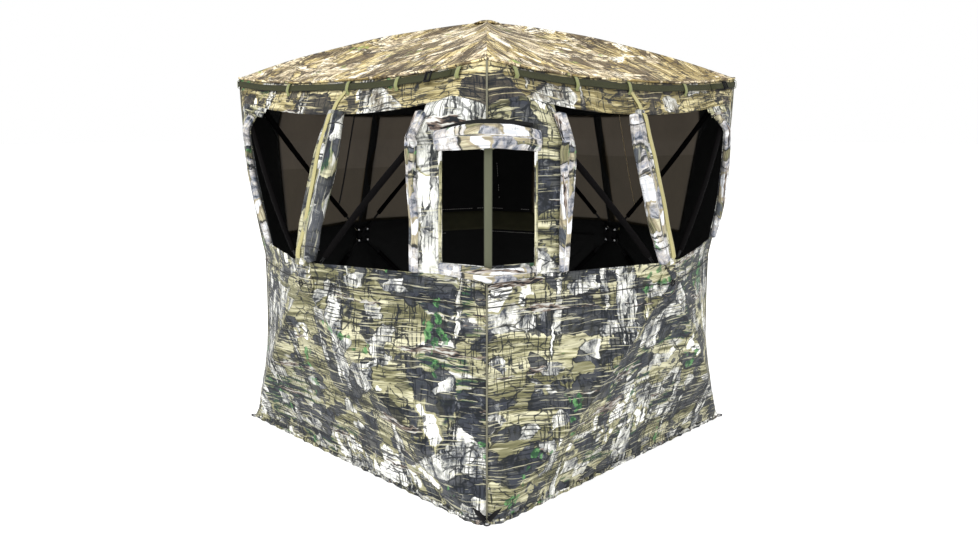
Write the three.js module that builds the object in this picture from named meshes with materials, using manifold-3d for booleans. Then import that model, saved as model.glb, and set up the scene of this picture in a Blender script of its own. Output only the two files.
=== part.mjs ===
// Pop up ground blind: five hub-and-rod panels (four walls and a roof) carrying a camouflage skin.
// Millimetres, +Z up. The origin is on the ground under the roof hub, and the walls face -Y (front),
// +X (right), +Y (back) and -X (left).
import * as THREE from 'three';
import { mergeVertices } from 'three/addons/utils/BufferGeometryUtils.js';
import Module from 'manifold-3d';

const wasm = await Module();
wasm.setup();

// ---- driving dimensions ----
const HALF_SIDE = 762;          // half of the 60 in footprint, to the corner columns
const EAVE_Z = 1550;            // height of the eave at its corners
const HUB_Z = 775;              // height of the wall hubs
const WALL_BULGE = 200;         // how far the wall skin stands out at its hub
const ROOF_BULGE = 235;         // how far the roof skin stands above the eave corners
const ROD_BOW = 35;             // outward bow of the skin over the middle of a rod
const COLUMN_PULL = 54;         // inward pull of the corner columns at hub height, along X and along Y
const EAVE_DROOP = 38;          // sag of the eave between its corners
const SKIN = 3;                 // thickness of the fabric solids
const MESH = 2;                 // thickness of the one-way mesh panels
const GAP = 0.4;                // gap kept between neighbouring pieces

const SILL_Z = 855;             // top of the solid lower walls
const VALANCE_Z = 1390;         // bottom of the solid band under the eave
const SEAM = 6;                 // height of the seam gap between stacked panels
const CORNER_WIDTH = 318;       // width of a corner panel on each wall
const STRIP_HALF = 32;          // half width of the centre strip above a wall hub
const HUB_HOLE_R = 62;          // hole in a skin that a hub passes through
const HEM_OUT = 8;              // how far the ground hem flares out
const HEM_IN = 3;               // how far the ground hem thickens inward

const CORNER_WINDOW = { reach: 178, low: 894, high: 1269 };   // the window that wraps one corner

const ROD_R = 5.2;              // fibreglass rod
const ROD_TIP_R = 8;            // moulded tip
const ROD_TIP_SHORT = 50;       // free distance from the tip to the corner of its panel
const ROD_TIP_DEPTH = 8;        // how far the tips sit inside the corner plane
const ROD_CURVE = 26;           // outward bow of the rod itself
const PIN_R = 30;               // radius of the rod pins around the hub's axis
const PIN_DEPTH = 21;           // depth of the rod pins under the crown of the skin
const HUB = { radius: 38, half: 13, core: 18, slot: 13 };
const CAP = { patch: 54, patchThick: 2.5, dome: 31, top: 20, rise: 15 };

const DOOR = { hinge: 660, low: 150, high: 735, far: 150, farLow: 690, tape: 26, gap: 3, lowGap: 7,
  hole: 6 };
const STRAP = { width: 25, thick: 2 };
const CORD_R = 2.5;             // cord that runs round the blind over the wall hubs

// ---- materials ----
const finish = (color, roughness, metalness = 0) => () =>
  new THREE.MeshStandardMaterial({ color, roughness, metalness });
const camoWall = finish(0x8a8560, 0.9);
const camoRoof = finish(0xb39a62, 0.9);
const meshCloth = finish(0x48403a, 0.95);
const webbing = finish(0x3d4a33, 0.85);
const rodShaft = finish(0x17181a, 0.45);
const hubPlastic = finish(0x1b1c1e, 0.5);
const cordBlack = finish(0x141414, 0.8);
const zipTape = finish(0x2c3028, 0.8);

// ---- solids ----
function solid(geometry) {
  const bare = geometry.clone();
  bare.deleteAttribute('normal');
  bare.deleteAttribute('uv');
  const merged = mergeVertices(bare, 1e-4);
  return new wasm.Manifold(new wasm.Mesh({
    numProp: 3,
    vertProperties: new Float32Array(merged.attributes.position.array),
    triVerts: new Uint32Array(merged.index.array),
  }));
}

function geometryOf(body) {
  const mesh = body.getMesh();
  const positions = new Float32Array(mesh.numVert * 3);
  for (let i = 0; i < mesh.numVert; i++) {
    for (let k = 0; k < 3; k++) positions[3 * i + k] = mesh.vertProperties[mesh.numProp * i + k];
  }
  const geometry = new THREE.BufferGeometry();
  geometry.setAttribute('position', new THREE.BufferAttribute(positions, 3));
  geometry.setIndex(new THREE.BufferAttribute(new Uint32Array(mesh.triVerts), 1));
  geometry.computeVertexNormals();
  return geometry;
}

function box(x0, x1, y0, y1, z0, z1) {
  const block = new THREE.BoxGeometry(x1 - x0, y1 - y0, z1 - z0);
  return block.translate((x0 + x1) / 2, (y0 + y1) / 2, (z0 + z1) / 2);
}

// A closed body from rings of points: the rings are joined in order, and the last ring either
// meets the first (loop) or both ends are capped.
function loftRings(rings, loop = false) {
  const count = rings[0].length;
  const positions = rings.flat().flatMap((p) => [p.x, p.y, p.z]);
  const index = [];
  const spans = loop ? rings.length : rings.length - 1;
  for (let i = 0; i < spans; i++) {
    const next = (i + 1) % rings.length;
    for (let j = 0; j < count; j++) {
      const k = (j + 1) % count;
      const [a, b, c, d] = [i * count + j, i * count + k, next * count + k, next * count + j];
      index.push(a, b, c, a, c, d);
    }
  }
  if (!loop) {
    const last = (rings.length - 1) * count;
    for (let j = 1; j < count - 1; j++) {
      index.push(0, j + 1, j);
      index.push(last, last + j, last + j + 1);
    }
  }
  const geometry = new THREE.BufferGeometry();
  geometry.setAttribute('position', new THREE.BufferAttribute(new Float32Array(positions), 3));
  geometry.setIndex(index);
  return facingOut(geometry);
}

function facingOut(geometry) {
  const at = geometry.attributes.position;
  const order = geometry.index.array;
  const [a, b, c] = [new THREE.Vector3(), new THREE.Vector3(), new THREE.Vector3()];
  let volume = 0;
  for (let i = 0; i < order.length; i += 3) {
    a.fromBufferAttribute(at, order[i]);
    b.fromBufferAttribute(at, order[i + 1]);
    c.fromBufferAttribute(at, order[i + 2]);
    volume += a.dot(b.cross(c));
  }
  if (volume < 0) {
    for (let i = 0; i < order.length; i += 3) [order[i], order[i + 1]] = [order[i + 1], order[i]];
  }
  geometry.computeVertexNormals();
  return geometry;
}

// ---- the panels' shape ----
// A panel is a square of -1..1 in t (across) and s (up), with its hub at 0, 0 and its corners at +-1.
const CORNER_POWER = 2.5;
const columnPull = (s) => COLUMN_PULL * (s > 0 ? (1 - s) ** 2 : 1 - Math.abs(s) ** 3);

function crown(t, s, bulge) {
  const reach = Math.max(Math.abs(t), Math.abs(s));
  const share = reach > 0 ? Math.min(Math.abs(t), Math.abs(s)) / reach : 0;
  return bulge * (1 - reach) + 4 * ROD_BOW * reach * (1 - reach) * share ** 2;
}

// The wall skin, for a wall facing -Y: x across, z up and out = distance beyond the corner plane.
function wallPoint(t, s) {
  const [across, up] = [Math.abs(t), Math.abs(s)];
  let [x, out] = [t * HALF_SIDE, crown(t, s, WALL_BULGE)];
  if (across > up) {
    const nearness = (across - up) / (1 - up);
    out -= columnPull(s) * nearness ** 2;
    x -= Math.sign(t) * columnPull(s) * nearness;
  }
  const rise = s > 0 ? EAVE_Z - HUB_Z : HUB_Z;
  const droop = s > 0 ? EAVE_DROOP * (1 - across ** CORNER_POWER) * s ** 3 : 0;
  return { x, z: HUB_Z + s * rise - droop, out };
}

// The roof skin: x and y across, out = height above the eave corners.
function roofPoint(t, s) {
  const reach = Math.max(Math.abs(t), Math.abs(s));
  const share = reach > 0 ? Math.min(Math.abs(t), Math.abs(s)) / reach : 0;
  const droop = EAVE_DROOP * (1 - share ** CORNER_POWER) * reach ** 3;
  return { x: t * HALF_SIDE, y: s * HALF_SIDE, out: crown(t, s, ROOF_BULGE) - droop };
}

const EDGE_STEPS = [-1, -0.75, -0.5, -0.25, 0, 0.25, 0.5, 0.75];
const REACHES = [0.2, 0.4, 0.6, 0.8, 0.93, 1];

// Points round the unit square, starting at its lower left corner.
const SQUARE = [
  ...EDGE_STEPS.map((k) => [k, -1]),
  ...EDGE_STEPS.map((k) => [1, k]),
  ...EDGE_STEPS.map((k) => [-k, 1]),
  ...EDGE_STEPS.map((k) => [-1, -k]),
];

// A whole wall skin between two depths under the outer surface. ends = 'mitre' tapers it to the
// corner diagonals, so that two walls can stand side by side; 'full' lets two walls be joined.
function wallSkin(depthOut, depthIn, ends = 'full', hem = 0) {
  const place = (t, s, depth) => {
    const p = wallPoint(t, s);
    const across = ends === 'mitre' ? -depth * t - Math.sign(t) * (Math.abs(t) === 1 ? GAP : 0) : 0;
    return new THREE.Vector3(p.x + across, -(HALF_SIDE + p.out - depth), p.z);
  };
  const inHole = ([a, b], depth) => {
    const length = Math.hypot(a * HALF_SIDE, b * HUB_Z);
    const [t, s] = [(a * HUB_HOLE_R) / length, (b * HUB_HOLE_R) / length];
    return place(t, s, depth);
  };
  const rings = SQUARE.map((corner) => {
    const [a, b] = corner;
    const flare = (m) => (b === -1 && m === 1 ? hem : 0);
    const outer = REACHES.map((m) => place(a * m, b * m, depthOut - flare(m) * HEM_OUT));
    const inner = REACHES.map((m) => place(a * m, b * m, depthIn + flare(m) * HEM_IN));
    return [inHole(corner, depthOut), ...outer, ...inner.reverse(), inHole(corner, depthIn)];
  });
  return loftRings(rings, true);
}

function roofSkin() {
  const EDGE_OVERHANG = 4;
  const place = (t, s, depth) => {
    const p = roofPoint(t, s);
    const edge = Math.max(Math.abs(t), Math.abs(s)) === 1 ? 1 + EDGE_OVERHANG / HALF_SIDE : 1;
    return new THREE.Vector3(p.x * edge, p.y * edge, EAVE_Z + p.out - depth);
  };
  const inHole = ([a, b], depth) => {
    const length = Math.hypot(a, b) * HALF_SIDE;
    return place((a * HUB_HOLE_R) / length, (b * HUB_HOLE_R) / length, depth);
  };
  const rings = SQUARE.map((corner) => {
    const [a, b] = corner;
    const outer = REACHES.map((m) => place(a * m, b * m, 0));
    const inner = REACHES.map((m) => place(a * m, b * m, SKIN));
    return [inHole(corner, 0), ...outer, ...inner.reverse(), inHole(corner, SKIN)];
  });
  return loftRings(rings, true);
}

// The wall surface found from a place on the wall instead of from t and s.
function wallAt(x, z) {
  let [t, s] = [x / HALF_SIDE, (z - HUB_Z) / HUB_Z];
  for (let i = 0; i < 30; i++) {
    const p = wallPoint(t, s);
    t += (x - p.x) / HALF_SIDE;
    s += (z - p.z) / HUB_Z;
  }
  return wallPoint(t, s);
}

// ---- tools for rolls, straps and cords on the skin ----
// A round or oval tube through a list of { at, half: [sideways, outward], side, out }.
function ovalTube(stations, sides) {
  return loftRings(stations.map(({ at, half, side, out }) =>
    Array.from({ length: sides }, (_, i) => {
      const angle = (2 * Math.PI * (i + 0.5)) / sides;
      return at.clone()
        .addScaledVector(side, half[0] * Math.cos(angle))
        .addScaledVector(out, half[1] * Math.sin(angle));
    })));
}

function flatStrip(stations, width, thick) {
  return loftRings(stations.map(({ at, side, out }) => [
    at.clone().addScaledVector(side, -width / 2),
    at.clone().addScaledVector(side, width / 2),
    at.clone().addScaledVector(side, width / 2).addScaledVector(out, thick),
    at.clone().addScaledVector(side, -width / 2).addScaledVector(out, thick),
  ]));
}

const range = (from, to, steps) =>
  Array.from({ length: steps + 1 }, (_, i) => from + ((to - from) * i) / steps);
const ACROSS = new THREE.Vector3(1, 0, 0);
const OUT = new THREE.Vector3(0, -1, 0);
const UP = new THREE.Vector3(0, 0, 1);

// ---- the model ----
const blind = new THREE.Group();
const sides = ['front', 'right', 'back', 'left'];
const corners = ['front_right', 'back_right', 'back_left', 'front_left'];
const faces = sides.map((name, i) => {
  const face = new THREE.Group();
  face.rotation.z = (i * Math.PI) / 2;
  blind.add(face);
  return face;
});

function addPiece(parent, name, geometry, material) {
  const mesh = new THREE.Mesh(geometry, material());
  mesh.name = name;
  parent.add(mesh);
  return mesh;
}

const FAR = 3000;
const below = (z) => solid(box(-FAR, FAR, -FAR, FAR, -FAR, z));
const band = (x0, x1, z0, z1) => solid(box(x0, x1, -FAR, 0, z0, z1));

// A prism through the wall, over an outline of [x, z] points on the wall facing -Y.
function throughWall(outline) {
  const shape = new THREE.Shape(outline.map(([x, z]) => new THREE.Vector2(x, z)));
  const prism = new THREE.ExtrudeGeometry(shape, { depth: FAR, bevelEnabled: false });
  return solid(prism.rotateX(Math.PI / 2));
}

// The door's outline grown by a margin: a hinge edge near the corner, and a slanted edge, with a
// margin of its own, that keeps clear of the lower rod.
function doorOutline(margin, lowMargin = margin) {
  const slope = (DOOR.farLow - DOOR.low) / (DOOR.hinge - DOOR.far);
  const slant = lowMargin * Math.hypot(1, slope);
  const lowAt = (x) => DOOR.low + (DOOR.hinge - x) * slope - slant;
  const [near, far, top] = [DOOR.hinge + margin, DOOR.far - margin, DOOR.high + margin];
  return [[near, lowAt(near)], [near, top], [far, top], [far, lowAt(far)]];
}

// lower walls, with a zipped crawl-in door in the back one
const lowerWall = solid(wallSkin(0, SKIN, 'mitre', 1)).intersect(below(SILL_Z));
sides.forEach((side, i) => {
  const wall = side === 'back'
    ? lowerWall.subtract(throughWall(doorOutline(DOOR.tape + DOOR.hole)))
    : lowerWall;
  addPiece(faces[i], `lower_wall_${side}`, geometryOf(wall), camoWall);
});
const doorTape = throughWall(doorOutline(DOOR.tape))
  .subtract(throughWall(doorOutline(DOOR.gap, DOOR.lowGap)));
addPiece(faces[2], 'door_zip_surround', geometryOf(lowerWall.intersect(doorTape)), zipTape);
addPiece(faces[2], 'entry_door',
  geometryOf(lowerWall.intersect(throughWall(doorOutline(0)))), camoWall);

// valance band round the top of all four walls
const fullWall = solid(wallSkin(0, SKIN));
const turned = (body, i) => body.rotate([0, 0, 90 * i]);
const allWalls = [1, 2, 3].reduce((sum, i) => sum.add(turned(fullWall, i)), fullWall);
const ROOF_SEAM = SKIN + 2;
const roofClear = solid(roofSkin()).translate([0, 0, -2]);
const valance = allWalls
  .intersect(solid(box(-FAR, FAR, -FAR, FAR, VALANCE_Z, EAVE_Z - ROOF_SEAM)))
  .subtract(roofClear);
const valanceParts = valance.decompose().sort((a, b) => b.volume() - a.volume());
addPiece(blind, 'valance_band', geometryOf(valanceParts[0]), camoWall);
addPiece(blind, 'roof_canopy', roofSkin(), camoRoof);

// corner panels, the front right one with a window that wraps the corner
const [panelLow, panelHigh] = [SILL_Z + SEAM, VALANCE_Z - SEAM];
const inner = HALF_SIDE - CORNER_WIDTH;
const cornerPanel = fullWall.add(turned(fullWall, 1))
  .intersect(solid(box(inner, FAR, -FAR, -inner, panelLow, panelHigh)));
const windowEdge = HALF_SIDE - CORNER_WINDOW.reach;
const cornerWindow = solid(
  box(windowEdge, FAR, -FAR, -windowEdge, CORNER_WINDOW.low, CORNER_WINDOW.high));
corners.forEach((corner, i) => {
  const panel = corner === 'front_right' ? cornerPanel.subtract(cornerWindow) : cornerPanel;
  addPiece(faces[i], `corner_panel_${corner}`, geometryOf(panel), camoWall);
});

// centre strips above the hubs, and one-way mesh in the two far walls
const strip = fullWall.intersect(band(-STRIP_HALF, STRIP_HALF, panelLow, panelHigh));
const meshSheet = solid(wallSkin(SKIN + 1, SKIN + 1 + MESH))
  .intersect(band(GAP - inner, inner - GAP, panelLow, panelHigh));
sides.forEach((side, i) => addPiece(faces[i], `centre_strip_${side}`, geometryOf(strip), camoWall));
for (const i of [2, 3]) {
  addPiece(faces[i], `window_mesh_${sides[i]}`, geometryOf(meshSheet), meshCloth);
}

// rolled window covers beside the centre strips and along the corner panel edges
function uprightRoll(x, z0, z1, radius) {
  const SWELL = 0.3;
  const steps = range(z0, z1, 8);
  return ovalTube(steps.map((z, i) => {
    const r = radius * (1 - SWELL / 2 + SWELL * Math.sin((Math.PI * i) / (steps.length - 1)));
    const lift = wallAt(x, z).out + r + ROLL.clear;
    return { at: new THREE.Vector3(x, -(HALF_SIDE + lift), z), half: [r, r], side: ACROSS, out: OUT };
  }), 8);
}
const ROLL = { offset: 55, low: 885, high: 1380, radius: 18, edge: 17, cornerRadius: 18, clear: 9 };
const cornerRollX = inner + ROLL.edge;
addPiece(faces[0], 'cover_roll_front_centre',
  uprightRoll(ROLL.offset, ROLL.low, ROLL.high, ROLL.radius), camoWall);
addPiece(faces[1], 'cover_roll_right_centre',
  uprightRoll(-ROLL.offset, ROLL.low, ROLL.high, ROLL.radius), camoWall);
addPiece(faces[0], 'cover_roll_front_corner',
  uprightRoll(cornerRollX, ROLL.low, ROLL.high, ROLL.cornerRadius), camoWall);
addPiece(faces[1], 'cover_roll_right_corner',
  uprightRoll(-cornerRollX, ROLL.low, ROLL.high, ROLL.cornerRadius), camoWall);

// the corner window's two rolled flaps, which run round the corner, and the strap that ties them
function aroundCorner(distance, z) {
  const along = Math.abs(distance);
  const p = wallAt(Math.min(HALF_SIDE, HALF_SIDE - along), z);
  const column = wallPoint(1, (z - HUB_Z) / HUB_Z);
  const x = Math.min(p.x, column.x);
  const flat = [x, -(HALF_SIDE + (along > 0 ? p.out : column.out))];
  return distance < 0 ? flat : [-flat[1], -flat[0]];
}
function cornerRoll(z0, arch, sag, half) {
  const REACH = 198;
  const ROUNDING = 70;
  return ovalTube(range(-REACH, REACH, 10).map((distance) => {
    const turn = Math.max(-1, Math.min(1, distance / ROUNDING));
    const angle = (Math.PI / 4) * (1 + turn);
    const out = new THREE.Vector3(Math.sin(angle), -Math.cos(angle), 0);
    const u = distance / REACH;
    const z = z0 + arch * (1 - u * u) - sag * u;
    const [x, y] = aroundCorner(distance, z);
    const fat = 0.72 + 0.28 * Math.sqrt(1 - 0.9 * u * u);
    const at = new THREE.Vector3(x, y, z).addScaledVector(out, half[1] * fat + 6);
    return { at, half: [half[0] * fat, half[1] * fat], side: UP, out };
  }), 8);
}
const TOP_FLAP = { z: 1302, arch: 14, sag: 0, half: [40, 24] };
const LOW_FLAP = { z: 868, arch: -4, sag: -8, half: [26, 20] };
for (const [name, flap] of [['top', TOP_FLAP], ['bottom', LOW_FLAP]]) {
  addPiece(blind, `corner_window_roll_${name}`,
    cornerRoll(flap.z, flap.arch, flap.sag, flap.half), camoWall);
}
const DIAGONAL = new THREE.Vector3(1, -1, 0).normalize();
const ACROSS_CORNER = new THREE.Vector3(1, 1, 0).normalize();
function onCornerColumn(z, stand) {
  const column = wallPoint(1, (z - HUB_Z) / (z > HUB_Z ? EAVE_Z - HUB_Z : HUB_Z));
  const at = new THREE.Vector3(column.x, -column.x, z).addScaledVector(DIAGONAL, stand);
  return { at, side: ACROSS_CORNER, out: DIAGONAL };
}
const WINDOW_STRAP = [[1383, 10], [1362, 32], [1340, 60], [1300, 66], [1268, 56], [1180, 30],
  [1080, 26], [980, 34], [905, 54], [862, 62], [835, 52], [800, 24], [765, 16], [722, 14]];
addPiece(blind, 'corner_window_strap',
  flatStrip(WINDOW_STRAP.map(([z, stand]) => onCornerColumn(z, stand)), STRAP.width, STRAP.thick),
  webbing);

// webbing along each eave
const EAVE_STRAP_REACH = 0.86;
const EAVE_STRAP_DROP = 26;
const EAVE_STRAP_STAND = 9;
const eaveStrap = flatStrip(range(-EAVE_STRAP_REACH, EAVE_STRAP_REACH, 14).map((t) => {
  const top = wallPoint(t, 1);
  const p = wallAt(t * HALF_SIDE, top.z - EAVE_STRAP_DROP);
  const out = HALF_SIDE + p.out + EAVE_STRAP_STAND;
  return { at: new THREE.Vector3(p.x, -out, p.z), side: UP, out: OUT };
}), STRAP.width, STRAP.thick);
sides.forEach((side, i) => addPiece(faces[i], `eave_strap_${side}`, eaveStrap, webbing));

// cord round the blind: over each hub cap and round each corner column
const CORD = { hubZ: 776, cornerZ: 751, steps: 8, sides: 6, capOut: 213.6, capEdge: 42, stand: 5 };
function cordOnFace(i) {
  const edge = CORD.capEdge / HALF_SIDE;
  const reaches = [...range(-1, 1, 2 * CORD.steps).slice(0, -1), -edge, edge].sort((a, b) => a - b);
  return reaches.map((t) => {
    const z = CORD.hubZ + (CORD.cornerZ - CORD.hubZ) * Math.abs(t) ** 1.2;
    const p = wallPoint(t, (z - HUB_Z) / HUB_Z);
    const lift = Math.abs(t) <= edge ? CORD.capOut - 1.5 * (t !== 0) : p.out + CORD.stand;
    const outward = new THREE.Vector3(t === -1 ? -1 : 0, -1, 0).normalize();
    const at = new THREE.Vector3(p.x, -(HALF_SIDE + lift), z);
    if (t === -1) at.set(p.x - CORD.stand * 0.7, -(HALF_SIDE + p.out + CORD.stand * 0.7), z);
    return Array.from({ length: CORD.sides }, (_, n) => {
      const angle = (2 * Math.PI * n) / CORD.sides;
      return at.clone()
        .addScaledVector(UP, CORD_R * Math.cos(angle))
        .addScaledVector(outward, CORD_R * Math.sin(angle))
        .applyAxisAngle(UP, (i * Math.PI) / 2);
    });
  });
}
addPiece(blind, 'hub_cord', loftRings([0, 1, 2, 3].flatMap(cordOnFace), true), cordBlack);

// ---- hubs and rods ----
// Each hub is built on +Z as its outward axis, in a group that turns that axis to its panel's.
function hubBody(angles) {
  let body = solid(new THREE.CylinderGeometry(HUB.radius, HUB.radius, 2 * HUB.half, 32)
    .rotateX(Math.PI / 2));
  for (const angle of angles) {
    const slot = box(HUB.core, 2 * HUB.radius, -HUB.slot / 2, HUB.slot / 2, -FAR, FAR);
    body = body.subtract(solid(slot.rotateZ(angle)));
  }
  return geometryOf(body);
}

function hubCap() {
  const low = HUB.half + GAP;
  const disc = low + CAP.patchThick;
  const high = disc + CAP.rise;
  const profile = [[0, low], [CAP.patch, low], [CAP.patch, disc], [CAP.dome, disc],
    [CAP.dome - 3, disc + 0.6 * CAP.rise], [CAP.top, high], [0, high]];
  return new THREE.LatheGeometry(profile.map(([x, y]) => new THREE.Vector2(x, y)), 32)
    .rotateX(Math.PI / 2);
}

// A rod runs from its pin to its tip, along +X of its own group, falling to depth under the pin.
function rodBody(reach, fall) {
  const INNER_END = 5;
  const steps = range(-INNER_END / reach, 1, 8);
  const tipLength = 22;
  const stations = [...steps.slice(0, -1), 1 - tipLength / reach, 1 - 0.9 * tipLength / reach, 1];
  const last = stations.length - 2;
  return ovalTube(stations.sort((a, b) => a - b).map((u, i) => {
    const r = i >= last ? ROD_TIP_R : ROD_R;
    const at = new THREE.Vector3(u * reach, 0, -fall * u + 4 * ROD_CURVE * u * (1 - u));
    return { at, half: [r, r], side: new THREE.Vector3(0, 1, 0), out: UP };
  }), 6);
}

const rodNames = ['up_right', 'up_left', 'low_left', 'low_right'];
const roofRodNames = ['back_right', 'back_left', 'front_left', 'front_right'];
const wallDiagonal = Math.atan2(HUB_Z, HALF_SIDE);
const wallAngles = [wallDiagonal, Math.PI - wallDiagonal, Math.PI + wallDiagonal, -wallDiagonal];
const roofAngles = [1, 3, 5, 7].map((k) => (k * Math.PI) / 4);

function addHub(parent, name, names, angles, bulge, halfDiagonal) {
  addPiece(parent, `hub_${name}`, hubBody(angles), hubPlastic);
  addPiece(parent, `hub_cap_${name}`, hubCap(), hubPlastic);
  const reach = halfDiagonal - PIN_R - ROD_TIP_SHORT;
  const fall = bulge - PIN_DEPTH + ROD_TIP_DEPTH;
  names.forEach((rodName, i) => {
    const arm = new THREE.Group();
    arm.rotation.z = angles[i];
    parent.add(arm);
    addPiece(arm, `rod_${name}_${rodName}`, rodBody(reach, fall).translate(PIN_R, 0, 0), rodShaft);
  });
}

sides.forEach((side, i) => {
  const hub = new THREE.Group();
  hub.position.set(0, -(HALF_SIDE + WALL_BULGE - PIN_DEPTH), HUB_Z);
  hub.rotation.x = Math.PI / 2;
  faces[i].add(hub);
  addHub(hub, side, rodNames, wallAngles, WALL_BULGE, Math.hypot(HALF_SIDE, HUB_Z));
});
const roofHub = new THREE.Group();
roofHub.position.z = EAVE_Z + ROOF_BULGE - PIN_DEPTH;
blind.add(roofHub);
addHub(roofHub, 'roof', roofRodNames, roofAngles, ROOF_BULGE, HALF_SIDE * Math.SQRT2);

export default blind;
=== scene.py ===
import math

import bmesh
import bpy
import numpy as np
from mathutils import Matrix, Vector, noise


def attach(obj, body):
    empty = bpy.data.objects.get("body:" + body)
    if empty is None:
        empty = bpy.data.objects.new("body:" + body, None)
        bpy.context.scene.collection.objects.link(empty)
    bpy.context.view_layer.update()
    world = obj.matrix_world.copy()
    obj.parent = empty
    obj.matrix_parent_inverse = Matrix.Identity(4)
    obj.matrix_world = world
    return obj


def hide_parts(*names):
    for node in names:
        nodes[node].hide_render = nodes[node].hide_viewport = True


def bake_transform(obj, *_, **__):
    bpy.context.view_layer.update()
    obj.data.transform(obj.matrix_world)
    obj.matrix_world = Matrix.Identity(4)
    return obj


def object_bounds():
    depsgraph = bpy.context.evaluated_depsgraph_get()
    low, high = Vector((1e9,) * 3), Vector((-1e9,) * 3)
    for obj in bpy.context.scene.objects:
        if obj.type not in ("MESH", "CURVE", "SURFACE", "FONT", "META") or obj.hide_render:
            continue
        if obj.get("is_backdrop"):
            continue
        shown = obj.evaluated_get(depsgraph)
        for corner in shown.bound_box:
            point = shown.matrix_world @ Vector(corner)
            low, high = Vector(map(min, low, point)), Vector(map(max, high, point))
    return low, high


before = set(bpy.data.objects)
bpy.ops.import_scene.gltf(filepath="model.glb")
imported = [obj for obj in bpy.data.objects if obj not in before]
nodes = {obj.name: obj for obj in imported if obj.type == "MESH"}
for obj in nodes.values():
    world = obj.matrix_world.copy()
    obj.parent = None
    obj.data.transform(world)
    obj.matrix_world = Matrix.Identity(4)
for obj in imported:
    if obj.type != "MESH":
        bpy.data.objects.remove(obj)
cad_low, cad_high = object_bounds()

# ---- driving dimensions, metres, the same as the CAD model's ----
HALF_SIDE = 0.762           # corner columns, along X and along Y
EAVE_Z = 1.550              # eave corners
HUB_Z = 0.775               # wall hubs
WALL_BULGE = 0.200
ROOF_BULGE = 0.235
ROD_BOW = 0.035
COLUMN_PULL = 0.054
EAVE_DROOP = 0.038
SKIN = 0.003
CLOTH = SKIN * 0.8          # the same skin as one sheet of cloth
SILL_Z = 0.855
VALANCE_Z = 1.390             # at the middle of a wall, where the eave sags
VALANCE_LINE = 1.409          # the same edge before that sag
CORNER_WIDTH = 0.284
PIN_R = 0.030               # the rods' pins, from the hub's axis
PIN_DEPTH = 0.021           # and inward from the cloth over the hub
HOLD = 0.9265               # reach beyond which cloth stays with the corners

SIDES = ["front", "right", "back", "left"]
CORNERS = ["front_right", "back_right", "back_left", "front_left"]
FRONT, RIGHT, BACK, LEFT = range(4)

s_of = lambda z: (z - HUB_Z) / HUB_Z
T_PANEL = 1 - CORNER_WIDTH / HALF_SIDE
S_SILL = s_of(SILL_Z)
S_VALANCE = s_of(VALANCE_LINE)
WINDOW_T = 1 - 0.178 / HALF_SIDE          # corner window's side edges
WINDOW_S = (s_of(0.894), s_of(1.269))     # and its lower and upper edges


# ================================================================ materials
def factor(node):
    """A texture's one-value output, under either of its names."""
    return node.outputs["Factor" if "Factor" in node.outputs else "Fac"]


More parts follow.
